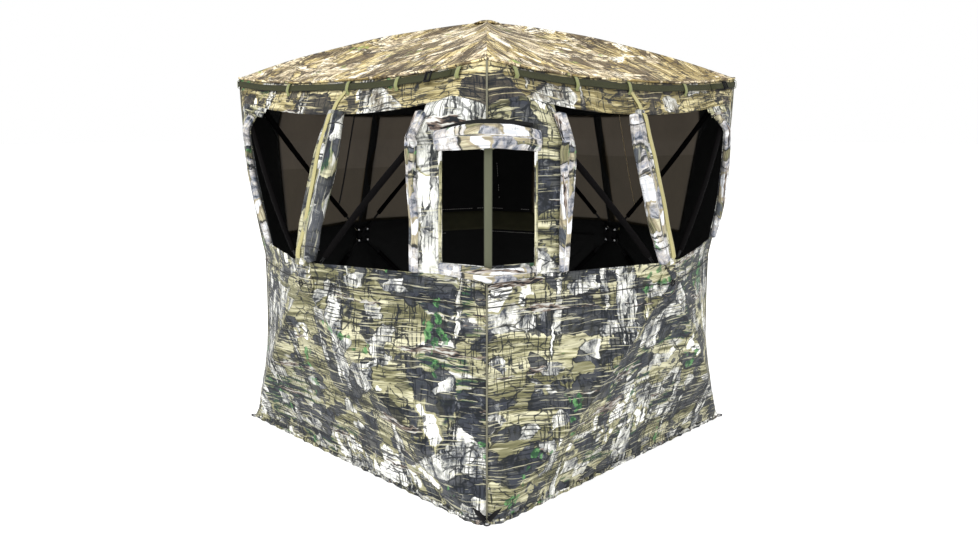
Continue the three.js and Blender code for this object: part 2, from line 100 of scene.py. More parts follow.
class Graph:
    """A material's node tree, with one short call for each kind of node."""

    def __init__(self, name):
        self.material = bpy.data.materials.new(name)
        self.material.use_nodes = True
        self.tree = self.material.node_tree
        self.tree.nodes.clear()
        self.out = self.add("ShaderNodeOutputMaterial")
        self.uv = self.add("ShaderNodeUVMap").outputs[0]

    def add(self, kind, values=None, **settings):
        """A node, with links or constants for its inputs, by name or number."""
        node = self.tree.nodes.new(kind)
        for key, value in settings.items():
            setattr(node, key, value)
        for key, value in (values or {}).items():
            self.put(node.inputs[key], value)
        return node

    def put(self, socket, value):
        if isinstance(value, bpy.types.NodeSocket):
            self.tree.links.new(value, socket)
        elif value is not None:
            socket.default_value = value

    def mapped(self, scale, turn=0.0, shift=(0.0, 0.0), source=None):
        return self.add("ShaderNodeMapping", {
            0: source or self.uv, "Location": (*shift, 0), "Rotation": (0, 0, turn),
            "Scale": (*scale, 1)}).outputs[0]

    def noise(self, vector, detail=3.0, roughness=0.55, scale=1.0, colour=False, space="2D"):
        node = self.add("ShaderNodeTexNoise", {"Vector": vector, "Scale": scale, "Detail": detail,
                                               "Roughness": roughness}, noise_dimensions=space)
        return node.outputs["Color"] if colour else factor(node)

    def cells(self, vector, feature="F1", metric="CHEBYCHEV", randomness=1.0):
        return self.add("ShaderNodeTexVoronoi", {"Vector": vector, "Scale": 1.0,
                                                 "Randomness": randomness},
                        voronoi_dimensions="2D", feature=feature, distance=metric)

    def channels(self, colour):
        return self.add("ShaderNodeSeparateColor", {0: colour}).outputs

    def math(self, operation, a, b=0.0):
        return self.add("ShaderNodeMath", {0: a, 1: b}, operation=operation).outputs[0]

    def moved(self, place, by, reach):
        """The place, moved by a colour or vector times a reach."""
        return self.add("ShaderNodeVectorMath", {0: by, 1: (*reach, 0), 2: place},
                        operation="MULTIPLY_ADD").outputs[0]

    def step(self, value, low, high):
        return self.add("ShaderNodeMapRange", {"Value": value, "From Min": low, "From Max": high},
                        interpolation_type="SMOOTHSTEP").outputs[0]

    def ramp(self, value, stops):
        node = self.add("ShaderNodeValToRGB", {0: value})
        ramp = node.color_ramp
        while len(ramp.elements) < len(stops):
            ramp.elements.new(0.5)
        for element, (place, colour) in zip(ramp.elements, stops):
            element.position = place
            element.color = (*colour, 1)
        return node.outputs[0]

    def mix(self, share, a, b, blend="MIX"):
        node = self.add("ShaderNodeMix", {"Factor": share}, data_type="RGBA", blend_type=blend)
        colours = [s for s in node.inputs if s.type == "RGBA"]
        for socket, value in zip(colours, (a, b)):
            self.put(socket, (*value, 1) if isinstance(value, tuple) else value)
        return [s for s in node.outputs if s.type == "RGBA"][0]

    def bump(self, height, strength, distance, below=None):
        return self.add("ShaderNodeBump", {"Strength": strength, "Distance": distance,
                                           "Height": height, "Normal": below}).outputs[0]

    def surface(self, colour, roughness, normal=None, **constants):
        colour = (*colour, 1) if isinstance(colour, tuple) else colour
        values = {key.replace("_", " "): value for key, value in constants.items()}
        node = self.add("ShaderNodeBsdfPrincipled", {"Base Color": colour, "Roughness": roughness,
                                                     "Normal": normal, **values})
        self.put(self.out.inputs[0], node.outputs[0])
        return node

    def waves(self, vector, direction, scale, distortion):
        return factor(self.add("ShaderNodeTexWave", {"Vector": vector, "Scale": scale,
                                                     "Distortion": distortion},
                               wave_type="BANDS", bands_direction=direction))

    def weave(self, pitch, below=None, strength=0.25):
        """A plain weave: two crossed sets of threads, this many metres apart."""
        threads = [self.waves(self.mapped((1 / pitch, 1 / pitch), turn), "X", 0.31, 0.6)
                   for turn in (0.0, math.pi / 2)]
        return self.bump(self.math("MULTIPLY", *threads), strength, 0.0006, below)


def camo(name, tones, bark, slate, leaf, shift=(0.0, 0.0), turn=0.0, size=1.0, slant=0.5,
         lines=1.0):
    """Printed woodland cloth: wood grain, slate blocks and pale bark in a ragged patchwork, with
    hatching, dark outlines, twigs and leaves. bark, slate, leaf, slant (how much of the grain runs
    aslant) and lines say how much of each shows, about 0 to 1."""
    g = Graph(name)
    base = g.mapped((1 / size, 1 / size), turn, shift)
    ragged = g.noise(g.mapped((34, 60), source=base), 2, 0.6, colour=True)
    slow = g.noise(g.mapped((5, 5), source=base), 2, 0.5, colour=True)
    jagged = g.moved(base, ragged, (0.013, 0.009))
    bent, smooth = (g.moved(place, slow, (0.030, 0.030)) for place in (jagged, base))
    at = lambda scale, spin=0.0, move=(0.0, 0.0): g.mapped(scale, spin, move, bent)
    fine = lambda scale, move: g.noise(g.mapped(scale, 0.0, move, smooth), 3, 0.6)
    full = lambda a, b: g.math("MULTIPLY", a, b)
    seen = lambda scale, low, high, spin=0.0, move=(0.0, 0.0), detail=3: g.step(
        g.noise(at(scale, spin, move), detail, 0.6), low, high)

    # wood grain that runs across, with hatching both ways
    grain = g.noise(g.mapped((4.5, 62), source=smooth), 6, 0.7)
    colour = g.ramp(grain, [(0.36, tones["dark"]), (0.44, tones["olive"]),
                            (0.52, tones["khaki"]), (0.63, tones["pale"])])
    broad = g.noise(at((2.6, 17), move=(2, 31)), 4, 0.6)
    colour = g.mix(full(g.step(broad, 0.53, 0.60), 0.75), colour, tones["olive"])
    colour = g.mix(full(g.step(broad, 0.43, 0.37), 0.55), colour, tones["pale"])

    # some of the grain runs aslant, in strips of slate, green and pale bark
    strips = g.noise(at((3.2, 26), -0.72, (4, 4)), 6, 0.66)
    aslant = g.ramp(strips, [(0.35, tones["black"]), (0.43, tones["slate"]),
                             (0.47, tones["leaf_dark"]), (0.51, tones["khaki"]),
                             (0.57, tones["bark"]), (0.68, tones["white"])])
    colour = g.mix(seen((1.9, 1.9), 0.66 - 0.2 * slant, 0.68 - 0.2 * slant, move=(9, 3)), colour,
                   aslant)

    # slate blocks of two sizes, and ragged clouds of slate
    first = g.cells(at((9.5, 13), move=(2, 9)), randomness=0.95)
    pick = g.channels(first.outputs["Color"])
    small = g.cells(at((23, 34), move=(7, 3)), randomness=0.95)
    pick_small = g.channels(small.outputs["Color"])
    streak = g.noise(at((44, 16), move=(5, 5)), 5, 0.65)
    slate_tone = g.ramp(streak, [(0.38, tones["black"]), (0.50, tones["slate"]),
                                 (0.64, tones["slate"]), (0.72, tones["mist"])])
    slab = g.math("MAXIMUM", g.step(pick[0], 0.97 - 0.40 * slate, 0.975 - 0.40 * slate),
                  g.step(pick_small[1], 0.99 - 0.36 * slate, 0.995 - 0.36 * slate))
    colour = g.mix(full(slab, 0.94), colour, slate_tone)
    colour = g.mix(full(seen((10, 12), 0.58, 0.60, move=(11, 4), detail=5), 0.9), colour,
                   slate_tone)

    # pale bark: blocks, blots and upright trunks with dark sides
    peel = g.noise(at((34, 17), move=(1, 8)), 6, 0.72)
    bark_tone = g.ramp(peel, [(0.36, tones["slate"]), (0.43, tones["mist"]),
                              (0.52, tones["bark"]), (0.63, tones["white"])])
    pale_cell = g.math("MAXIMUM", g.step(pick[2], 0.99 - 0.30 * bark, 0.992 - 0.30 * bark),
                       g.step(pick_small[2], 0.995 - 0.24 * bark, 1.0 - 0.24 * bark))
    colour = g.mix(full(pale_cell, 0.92), colour, bark_tone)
    blot = g.noise(at((7.5, 6.0), move=(15, 6)), 3, 0.5)
    edge = 0.70 - 0.07 * bark
    colour = g.mix(g.step(blot, edge - 0.035, edge - 0.015), colour, tones["khaki"])
    colour = g.mix(g.step(blot, edge - 0.004, edge + 0.008), colour, tones["white"])
    trunk = g.noise(at((13.0, 2.1), move=(7, 2)), 4, 0.6)
    edge = 0.68 - 0.12 * bark
    colour = g.mix(full(g.step(trunk, edge - 0.03, edge - 0.015), 0.92), colour, tones["black"])
    colour = g.mix(g.step(trunk, edge, edge + 0.015), colour, bark_tone)

    # ragged dark outlines, hairlines both ways, twigs and thin branches
    for cell, scale, move, width in ((first, (9.5, 13), (2, 9), 0.050),
                                     (small, (23, 34), (7, 3), 0.085)):
        second = g.cells(at(scale, move=move), feature="F2", randomness=0.95)
        gap = g.math("SUBTRACT", second.outputs["Distance"], cell.outputs["Distance"])
        broken = seen((20, 20), 0.47, 0.52, move=(6, 15 + width))
        colour = g.mix(full(full(g.step(gap, width, width * 0.5), broken), 0.85 * lines), colour,
                       tones["black"])
    across = full(g.step(fine((13, 230), (3, 7)), 0.545, 0.59),
                  seen((7, 9), 0.43, 0.49, move=(4, 14)))
    upright = full(g.step(fine((200, 12), (9, 1)), 0.565, 0.60),
                   seen((8, 7), 0.46, 0.52, move=(1, 5)))
    colour = g.mix(full(g.math("MAXIMUM", across, upright), 0.9 * lines), colour, tones["black"])
    colour = g.mix(full(g.step(fine((11, 210), (13, 2)), 0.62, 0.66), 0.6 * lines), colour,
                   tones["pale"])
    twig = seen((3.2, 24), 0.672, 0.684, 0.62, (6, 3), 4)
    twig_tone = g.ramp(g.noise(at((26, 190), 0.62), 3), [(0.40, tones["black"]),
                                                        (0.50, tones["twig"]),
                                                        (0.62, tones["bark"])])
    colour = g.mix(twig, colour, twig_tone)

    # small leaves in clusters
    leaves = g.cells(at((58, 44), 0.4, (3, 5)), metric="EUCLIDEAN")
    patch = seen((9, 7), 0.72 - 0.13 * leaf, 0.74 - 0.13 * leaf, move=(12, 12))
    leafy = full(g.step(leaves.outputs["Distance"], 0.50, 0.40), patch)
    leaf_tone = g.ramp(g.noise(at((90, 90)), 2), [(0.42, tones["leaf_dark"]),
                                                 (0.60, tones["leaf"])])
    colour = g.mix(full(leafy, 0.8), colour, leaf_tone)

    soft = g.noise(g.mapped((26, 26)), 3, 0.55)
    normal = g.weave(0.0016, g.bump(soft, 0.35, 0.004))
    rough = g.ramp(grain, [(0.3, (0.86,) * 3), (0.7, (0.74,) * 3)])
    g.surface(colour, rough, normal, Sheen_Weight=0.04, Specular_IOR_Level=0.22)
    return g.material


WALL_TONES = {
    "dark": (0.026, 0.026, 0.017), "olive": (0.125, 0.120, 0.060), "khaki": (0.300, 0.285, 0.165),
    "pale": (0.560, 0.535, 0.370), "black": (0.007, 0.009, 0.012), "slate": (0.030, 0.034, 0.045),
    "mist": (0.165, 0.172, 0.180), "bark": (0.420, 0.420, 0.385), "white": (0.830, 0.830, 0.790),
    "twig": (0.150, 0.110, 0.085), "leaf": (0.100, 0.260, 0.090),
    "leaf_dark": (0.016, 0.065, 0.024),
}
ROLL_TONES = dict(WALL_TONES, slate=(0.050, 0.062, 0.085), mist=(0.260, 0.270, 0.310),
                  bark=(0.440, 0.412, 0.380), white=(0.720, 0.735, 0.760),
                  khaki=(0.330, 0.285, 0.190))
HEAD_TONES = dict(WALL_TONES, dark=(0.034, 0.026, 0.014), olive=(0.138, 0.112, 0.044),
                  khaki=(0.345, 0.290, 0.135), pale=(0.610, 0.540, 0.320),
                  slate=(0.036, 0.032, 0.030), mist=(0.175, 0.158, 0.130))
BARK_TONES = dict(WALL_TONES, slate=(0.095, 0.100, 0.108), mist=(0.340, 0.345, 0.325),
                  bark=(0.600, 0.605, 0.560), white=(0.800, 0.805, 0.770))
# the roof's print: the walls' print made lighter and more golden; its extra lightness is painted
# light and its near-whites are painted highlights, for the strong light on the roof
ROOF_LIT_TONES = dict(
    WALL_TONES, dark=(0.060, 0.038, 0.014), olive=(0.240, 0.172, 0.055),
    khaki=(0.530, 0.410, 0.168), pale=(0.870, 0.745, 0.430), black=(0.036, 0.024, 0.013),
    slate=(0.125, 0.088, 0.046), mist=(0.420, 0.335, 0.220), bark=(0.730, 0.610, 0.390),
    white=(0.970, 0.900, 0.730), leaf=(0.300, 0.400, 0.100), leaf_dark=(0.160, 0.170, 0.050))


def plain_cloth(name, low, high, pitch, roughness=0.8, sheen=0.1, shine=0.2):
    g = Graph(name)
    patchy = g.noise(g.mapped((14, 14)), 4, 0.6)
    threads = g.noise(g.mapped((1 / pitch, 1 / pitch)), 2, 0.5)
    colour = g.mix(g.math("MULTIPLY", g.math("ADD", patchy, threads), 0.5), low, high)
    normal = g.weave(pitch, g.bump(patchy, 0.4, 0.003), 0.5)
    g.surface(colour, roughness, normal, Sheen_Weight=sheen, Specular_IOR_Level=shine)
    return g.material


def webbing(name, low, high, edge, sheen=0.15):
    """Flat webbing: ribs across the tape, herringbone shading and darker selvedges."""
    g = Graph(name)
    ribs = g.waves(g.mapped((1, 1)), "Y", 130, 0.8)
    worn = g.noise(g.mapped((30, 9)), 4, 0.6)
    colour = g.mix(g.math("MULTIPLY", ribs, g.math("ADD", worn, 0.2)), low, high)
    place = g.add("ShaderNodeAttribute", attribute_name="selvedge").outputs["Fac"]
    side = g.step(place, 0.72, 0.95)
    colour = g.mix(g.math("MULTIPLY", side, 0.7), colour, edge)
    g.surface(colour, 0.78, g.bump(ribs, 0.5, 0.0008), Sheen_Weight=sheen,
              Specular_IOR_Level=0.25)
    return g.material


def plastic(name, tone, roughness, grain=220.0, shine=0.5):
    g = Graph(name)
    coords = g.add("ShaderNodeTexCoord").outputs["Object"]
    fine = g.noise(coords, 4, 0.5, grain, space="3D")
    wear = g.noise(coords, 2, 0.5, 26, space="3D")
    lighter = tuple(min(1.0, c * 1.9 + 0.002) for c in tone)
    colour = g.ramp(wear, [(0.4, tone), (0.75, lighter)])
    rough = g.ramp(wear, [(0.3, (roughness,) * 3), (0.7, (min(1, roughness + 0.18),) * 3)])
    g.surface(colour, rough, g.bump(fine, 0.25, 0.0005), Specular_IOR_Level=shine)
    return g.material


MESH_SHADE_LINE = s_of(1.135) * HUB_Z       # below this height the light through the mesh is darkened: painted shade


def one_way_mesh(name):
    """Shoot-through mesh: dark and light threads, with a little light coming through, darker below a
    set height as painted shade.
    """
    g = Graph(name)
    patchy = g.noise(g.mapped((9, 5)), 4, 0.6)
    threads = g.noise(g.mapped((260, 40)), 2, 0.5)
    colour = g.mix(g.math("MULTIPLY", g.math("ADD", patchy, threads), 0.5),
                   (0.014, 0.012, 0.008), (0.034, 0.028, 0.019))
    glow = g.mix(patchy, (0.043, 0.034, 0.024), (0.066, 0.052, 0.037))
    level = g.add("ShaderNodeSeparateXYZ", {0: g.uv})
    # painted shade: the light through the mesh is darker below the line
    shaded_below = g.step(level.outputs[1], MESH_SHADE_LINE + 0.002, MESH_SHADE_LINE - 0.002)
    shade = g.mix(shaded_below, (1.0, 1.0, 1.0), (0.72, 0.70, 0.62))
    glow = g.mix(1.0, glow, shade, "MULTIPLY")
    solid = g.surface(colour, 0.85, g.weave(0.0022, None, 0.6), Specular_IOR_Level=0.15)
    lit = g.add("ShaderNodeBsdfTranslucent", {"Color": glow})
    clear = g.add("ShaderNodeBsdfTransparent")
    through = g.add("ShaderNodeMixShader", {0: 0.62, 1: solid.outputs[0], 2: lit.outputs[0]})
    holes = g.add("ShaderNodeMixShader", {0: 0.010, 1: through.outputs[0], 2: clear.outputs[0]})
    g.put(g.out.inputs[0], holes.outputs[0])
    return g.material


CAMO_WALL = camo("camo_wall_cloth", WALL_TONES, bark=0.42, slate=0.56, leaf=0.45, size=1.6)
CAMO_HEAD = camo("camo_valance_cloth", HEAD_TONES, bark=0.05, slate=0.12, leaf=0.15,
                 shift=(2.0, 7.0), size=1.7, slant=0.1)
CAMO_BARK = camo("camo_bark_cloth", BARK_TONES, bark=1.7, slate=0.02, leaf=0.3, shift=(5.0, 8.0),
                 size=2.2, slant=0.0, lines=0.7)
# roof cloth, with painted light in its tones
CAMO_ROOF_LIT = camo("camo_roof_cloth_painted_light", ROOF_LIT_TONES, bark=0.62, slate=0.45, leaf=0.22,
                 shift=(3.0, 1.0), turn=math.pi / 2, slant=0.1, size=1.35)
CAMO_ROLL = camo("camo_roll_cloth", ROLL_TONES, bark=1.1, slate=0.25, leaf=0.35,
                 shift=(9.0, 5.0), turn=math.pi / 2, size=2.2, slant=0.2, lines=0.4)
INNER = plain_cloth("inner_black_coating", (0.0010, 0.0012, 0.0012), (0.0028, 0.0032, 0.0032),
                    0.0016, 0.70, 0.0)
MESH = one_way_mesh("one_way_mesh_cloth")
WEBBING = webbing("olive_webbing", (0.010, 0.011, 0.003), (0.044, 0.046, 0.012),
                  (0.009, 0.010, 0.003), 0.02)
TAN_TAPE = webbing("pale_olive_tape", (0.300, 0.270, 0.115), (0.520, 0.470, 0.220),
                   (0.20, 0.18, 0.08))
TAB_TAPE = webbing("tab_tape", (0.130, 0.140, 0.050), (0.270, 0.285, 0.110), (0.08, 0.09, 0.04))
STRAP_GREY = webbing("window_strap_webbing", (0.056, 0.060, 0.036), (0.108, 0.113, 0.070),
                     (0.034, 0.037, 0.022))
BLACK_TAPE = webbing("black_tape", (0.006, 0.006, 0.007), (0.020, 0.020, 0.022), (0.004,) * 3)
SLEEVE = plain_cloth("rod_sleeve_cloth", (0.0008, 0.0007, 0.0008), (0.0030, 0.0024, 0.0026),
                     0.0012, 0.80, 0.0, 0.04)
ROD = plastic("rod_fibreglass_black", (0.0030, 0.0030, 0.0034), 0.40, 500, 0.15)
HUB = plastic("hub_nylon_black", (0.0030, 0.0030, 0.0034), 0.50, 300, 0.12)
CORD = plain_cloth("black_braided_cord", (0.004,) * 3, (0.018,) * 3, 0.0012, 0.75)
SEAM_TAPE = plain_cloth("seam_tape_khaki", (0.055, 0.053, 0.036), (0.210, 0.202, 0.140), 0.0014,
                        0.65)
OLIVE_DIM = plain_cloth("inner_olive_tape", (0.004, 0.004, 0.002), (0.052, 0.050, 0.022), 0.0014,
                        0.75, 0.0)
TIE = plain_cloth("tan_tie_cord", (0.22, 0.17, 0.10), (0.42, 0.34, 0.22), 0.0012, 0.8)
CAMO_STRIP = camo("camo_strip_cloth", WALL_TONES, bark=0.75, slate=0.55, leaf=0.3,
                  shift=(4.0, 2.0), turn=math.pi / 2, size=1.8, lines=0.5)
CAMO_DARK = camo("camo_dark_roll_cloth", WALL_TONES, bark=0.55, slate=0.85, leaf=0.5,
                 shift=(6.0, 3.0), turn=math.pi / 2, size=1.9, lines=0.5)
# rivet heads near-white: a painted highlight for the bright glint of light on them
RIVET_GLINT_WHITE = plastic("rivet_head_painted_glint", (0.93, 0.93, 0.93), 0.22, 200, 0.9)
THREAD = plain_cloth("pale_thread", (0.18, 0.18, 0.17), (0.55, 0.55, 0.52), 0.0010, 0.7, 0.0)
ZIP = plain_cloth("zip_tape_cloth", (0.008, 0.009, 0.007), (0.026, 0.028, 0.022), 0.0011, 0.75)


# ================================================================ the panels' shape
def clamp(value, low=-1.0, high=1.0):
    return max(low, min(high, value))


def column_pull(s):
    return COLUMN_PULL * ((1 - s) ** 2 if s > 0 else 1 - abs(s) ** 3)


def crown(t, s, bulge):
    """The stand of a panel over its corners' plane, and where t and s are in their sector."""
    reach = max(abs(t), abs(s))
    share = min(abs(t), abs(s)) / max(reach, 1e-9)
    return bulge * (1 - reach) + 4 * ROD_BOW * reach * (1 - reach) * share ** 2, share, reach


def wall_point(t, s, lift=0.0):
    """A place on the front wall's outer surface, for t across and s up, both from -1 to 1."""
    out, share, _ = crown(t, s, WALL_BULGE)
    across, up = abs(t), abs(s)
    nearness = (across - up) / max(1 - up, 1e-9) if across > up else 0.0
    out -= column_pull(s) * nearness ** 2
    x = t * HALF_SIDE - math.copysign(column_pull(s) * nearness, t)
    sag = EAVE_DROOP * (1 - (share if up > across else 1) ** 2.5) * max(0.0, s) ** 3
    return Vector((x, -(HALF_SIDE + out + lift), HUB_Z + s * HUB_Z - sag))


def roof_point(t, s, lift=0.0):
    """A place on the roof's upper surface, with s = -1 at the front eave."""
    out, share, reach = crown(t, s, ROOF_BULGE)
    sag = EAVE_DROOP * (1 - share ** 2.5) * reach ** 3
    return Vector((t * HALF_SIDE, s * HALF_SIDE, EAVE_Z + out - sag + lift))


def turned(p, side):
    """The front wall's point or direction, moved to another side of the blind."""
    c, s = [(1, 0), (0, 1), (-1, 0), (0, -1)][side]
    return Vector((c * p[0] - s * p[1], s * p[0] + c * p[1], p[2]))


def find_place(x, z):
    """The t and s of the place at x across a wall and z above the ground."""
    t, s = clamp(x / HALF_SIDE), clamp(s_of(z))
    for _ in range(14):
        p = wall_point(t, s)
        t = clamp(t + (x - p.x) / HALF_SIDE)
        s = clamp(s + (z - p.z) / HUB_Z)
    return t, s


def wall_frame(side, x, z, lift=0.0):
    """A place on a wall and the directions across, up and outward there."""
    t, s = find_place(x, z)
    e = 0.004
    across = (wall_point(clamp(t + e), s) - wall_point(clamp(t - e), s)).normalized()
    up = (wall_point(t, clamp(s + e)) - wall_point(t, clamp(s - e))).normalized()
    out = across.cross(up).normalized()
    at = wall_point(t, s) + out * lift
    return [turned(v, side) for v in (at, across, up, out)]


def wobble(x, y, seed, scale):
    return noise.noise(Vector((x * scale + 17.3 * seed, y * scale - 9.1 * seed, 3.7 * seed)))


def stations(low, high, steps):
    return [low + (high - low) * k / steps for k in range(steps + 1)]


def along(table, value):
    """Straight-line reading of a short table of (place, value) pairs."""
    for (x0, y0), (x1, y1) in zip(table, table[1:]):
        if value <= x1:
            return y0 + (y1 - y0) * clamp((value - x0) / (x1 - x0), 0, 1)
    return table[-1][1]


# ================================================================ mesh helpers
def new_piece(name, points, faces, material, uvs=None, selvedge=None, loop_uvs=None):
    mesh = bpy.data.meshes.new(name)
    mesh.from_pydata([tuple(p) for p in points], [], [tuple(f) for f in faces])
    for m in material if isinstance(material, (list, tuple)) else [material]:
        mesh.materials.append(m)
    order = np.zeros(len(mesh.loops), int)
    mesh.loops.foreach_get("vertex_index", order)
    layer = mesh.uv_layers.new(name="UVMap")
    flat = np.asarray(loop_uvs, np.float32) if loop_uvs else np.asarray(uvs, np.float32)[order]
    layer.data.foreach_set("uv", flat.ravel())
    if selvedge is not None:
        edge = mesh.attributes.new("selvedge", "FLOAT", "POINT")
        edge.data.foreach_set("value", np.asarray(selvedge, np.float32))
    mesh.polygons.foreach_set("use_smooth", [True] * len(mesh.polygons))
    mesh.update()
    obj = bpy.data.objects.new(name, mesh)
    bpy.context.scene.collection.objects.link(obj)
    return obj


def edit(obj, change):
    """Runs one change on the piece's mesh."""
    b = bmesh.new()
    b.from_mesh(obj.data)
    change(b)
    b.to_mesh(obj.data)
    b.free()
    return obj


def facing(obj):
    return edit(obj, lambda b: bmesh.ops.recalc_face_normals(b, faces=b.faces))


def knife(b, origin, normal, geom=None):
    """Cuts a mesh along a plane, and keeps both parts."""
    bmesh.ops.bisect_plane(b, geom=geom or b.verts[:] + b.edges[:] + b.faces[:], dist=1e-6,
                           plane_co=origin, plane_no=normal)


def drop(b, unwanted):
    """Deletes the faces whose middle is unwanted."""
    gone = [f for f in b.faces if unwanted(f.calc_center_median())]
    bmesh.ops.delete(b, geom=gone, context="FACES")


def thicken(obj, thickness, inner_slot=0):
    m = obj.modifiers.new("thickness", "SOLIDIFY")
    m.thickness = thickness
    m.offset = -1
    m.use_even_offset = True
    m.material_offset = inner_slot
    graph = bpy.context.evaluated_depsgraph_get()
    made = bpy.data.meshes.new_from_object(obj.evaluated_get(graph))
    old = obj.data
    obj.modifiers.clear()
    obj.data = made
    bpy.data.meshes.remove(old)
    return obj


def ring_faces(rings, sides):
    """The faces between neighbouring rings of points."""
    faces = []
    for i in range(rings - 1):
        for j in range(sides):
            k = (j + 1) % sides
            faces.append((i * sides + j, i * sides + k, (i + 1) * sides + k, (i + 1) * sides + j))
    return faces


def oval_tube(name, spine, outs, wide, deep, material, sides=16, shape=None, ends=0.5):
    """A closed tube along a spine. outs gives the outward direction at each point; wide and deep
    are the half sizes there; shape(angle, share, length) scales the section for folds."""
    spine = [Vector(p) for p in spine]
    points, uvs, rings, run = [], [], [], 0.0
    last = len(spine) - 1
    for i, p in enumerate(spine):
        tangent = (spine[min(i + 1, last)] - spine[max(i - 1, 0)]).normalized()
        out = Vector(outs[i])
        out = (out - tangent * out.dot(tangent)).normalized()
        side = tangent.cross(out)
        if i:
            run += (p - spine[i - 1]).length
        w = wide(i / last) if callable(wide) else wide
        d = deep(i / last) if callable(deep) else deep
        for j in range(sides):
            angle = 2 * math.pi * j / sides
            k = shape(angle, i / last, run) if shape else 1.0
            points.append(p + side * (w * k * math.sin(angle)) + out * (d * k * math.cos(angle)))
            uvs.append(((w + d) / 2 * angle, run))
        rings.append((p, tangent, max(w, d)))
    faces = ring_faces(last + 1, sides)
    for end in (0, last):
        p, tangent, size = rings[end]
        points.append(p + tangent * size * ends * (1 if end else -1))
        uvs.append((0, run if end else 0))
        for j in range(sides):
            faces.append((end * sides + j, end * sides + (j + 1) % sides, len(points) - 1))
    return facing(new_piece(name, points, faces, material, uvs))


def tube_on(name, rows, wide, deep, material, *rest):
    """A closed tube along rows of (place, across, up, outward)."""
    return oval_tube(name, [r[0] for r in rows], [r[3] for r in rows], wide, deep, material, *rest)


def cord_tube(name, spine, radius, material, sides=8, ends=0.5):
    """A round cord or rod through points."""
    spine = [Vector(p) for p in spine]
    outs, last = [], None
    for i, p in enumerate(spine):
        t = (spine[min(i + 1, len(spine) - 1)] - spine[max(i - 1, 0)]).normalized()
        if last is None:
            last = Vector((0, 0, 1)) if abs(t.z) < 0.9 else Vector((1, 0, 0))
        last = (last - t * last.dot(t)).normalized()
        outs.append(last.copy())
    return oval_tube(name, spine, outs, radius, radius, material, sides, None, ends)


def ribbon(name, rows, width, thickness, material, cross=4, lie=1):
    """A flat tape along rows of (place, across, up, outward), as wide as item lie points."""
    points, faces, uvs, edge, strips, run = [], [], [], [], [], 0.0
    for i, row in enumerate(rows):
        p, s, o = Vector(row[0]), Vector(row[lie]), Vector(row[3])
        if i:
            run += (p - Vector(rows[i - 1][0])).length
        strip = []
        for layer in (0, 1):
            for j in range(cross + 1):
                u = j / cross - 0.5
                strip.append(len(points))
                points.append(p + s * (u * width) + o * (layer * thickness))
                uvs.append((u * width, run))
                edge.append(abs(2 * u))
        strips.append(strip)
    n = cross + 1
    for a, b in zip(strips, strips[1:]):
        for j in range(cross):
            faces.append((a[j], a[j + 1], b[j + 1], b[j]))
            faces.append((a[n + j], b[n + j], b[n + j + 1], a[n + j + 1]))
        faces.append((a[0], b[0], b[n], a[n]))
        faces.append((a[cross], a[n + cross], b[n + cross], b[cross]))
    for end in (strips[0], strips[-1]):
        for j in range(cross):
            faces.append((end[j], end[n + j], end[n + j + 1], end[j + 1]))
    return facing(new_piece(name, points, faces, material, uvs, edge))


def turned_disc(name, centre, axis, profile, material, sides, a, shift):
    """A round part from (radius, height) pairs about an axis. a is where its angle starts."""
    b = axis.cross(a)
    points, uvs = [], []
    for r, h in profile:
        for j in range(sides):
            angle = 2 * math.pi * j / sides
            flat = a * math.cos(angle) + b * math.sin(angle)
            points.append(centre + flat * r + axis * h)
            uvs.append((shift[0] + r * math.cos(angle), shift[1] + r * math.sin(angle)))
    faces = ring_faces(len(profile), sides)
    faces.append(tuple(range(sides)))
    faces.append(tuple(range((len(profile) - 1) * sides, len(profile) * sides)))
    return facing(new_piece(name, points, faces, material, uvs))


def join(name, objects):
    """Several meshes as one piece."""
    bpy.ops.object.select_all(action="DESELECT")
    for o in objects:
        o.select_set(True)
    bpy.context.view_layer.objects.active = objects[0]
    if len(objects) > 1:
        bpy.ops.object.join()
    objects[0].name = name
    objects[0].data.name = name
    return objects[0]


# ================================================================ placing pieces by hub sector and by body
def hub_place(side):
    return turned((0, -(HALF_SIDE + WALL_BULGE), HUB_Z), side)


def follow_wall(obj, side, sector):
    """Cloth of one wall sector, baked in place; the hub and the sector's outer reach are passed on
    and not used.
    """
    reach = {"bottom": (0, 0, -HOLD * HUB_Z), "top": (0, 0, HOLD * HUB_Z),
             "left": (-HOLD * HALF_SIDE, 0, 0), "right": (HOLD * HALF_SIDE, 0, 0)}[sector]
    hub = hub_place(side)
    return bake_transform(obj, "root", f"{SIDES[side]}_hub", start=hub + turned(reach, side), end=hub)


def follow_roof(obj, sector):
    reach = {"front": (0, -1, 0), "back": (0, 1, 0), "left": (-1, 0, 0), "right": (1, 0, 0)}[sector]
    hub = Vector((0, 0, EAVE_Z + ROOF_BULGE))
    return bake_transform(obj, "root", "roof_hub", start=hub + Vector(reach) * (HOLD * HALF_SIDE),
                    end=hub)


def split_wall(obj, side, cad=()):
    """Cuts a wall's piece along the wall's diagonals, and bakes each sector's part in place."""
    hub, across = hub_place(side), turned((1, 0, 0), side)
    slope = HUB_Z / HALF_SIDE
    falling = across * slope + Vector((0, 0, 1))
    rising = across * slope - Vector((0, 0, 1))
    keep = {"right": (1, 1), "left": (-1, -1), "top": (1, -1), "bottom": (-1, 1)}
    parts = []
    for sector, (sign_f, sign_r) in keep.items():
        part = obj.copy()
        part.data = obj.data.copy()
        bpy.context.scene.collection.objects.link(part)

        def trim(b):
            knife(b, hub, falling)
            knife(b, hub, rising)
            drop(b, lambda c: (c - hub).dot(falling) * sign_f < 0
                 or (c - hub).dot(rising) * sign_r < 0)

        edit(part, trim)
        if not part.data.polygons:
            bpy.data.objects.remove(part)
            continue
        part.name = f"{obj.name}_{sector}"
        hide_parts(*cad)
        follow_wall(part, side, sector)
        parts.append(part)
    name = obj.name
    bpy.data.objects.remove(obj)
    if len(parts) == 1:
        parts[0].name = name
    return parts


def fixed(obj, body, cad=()):
    """A piece that moves with one body."""
    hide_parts(*cad)
    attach(obj, body)
    return obj


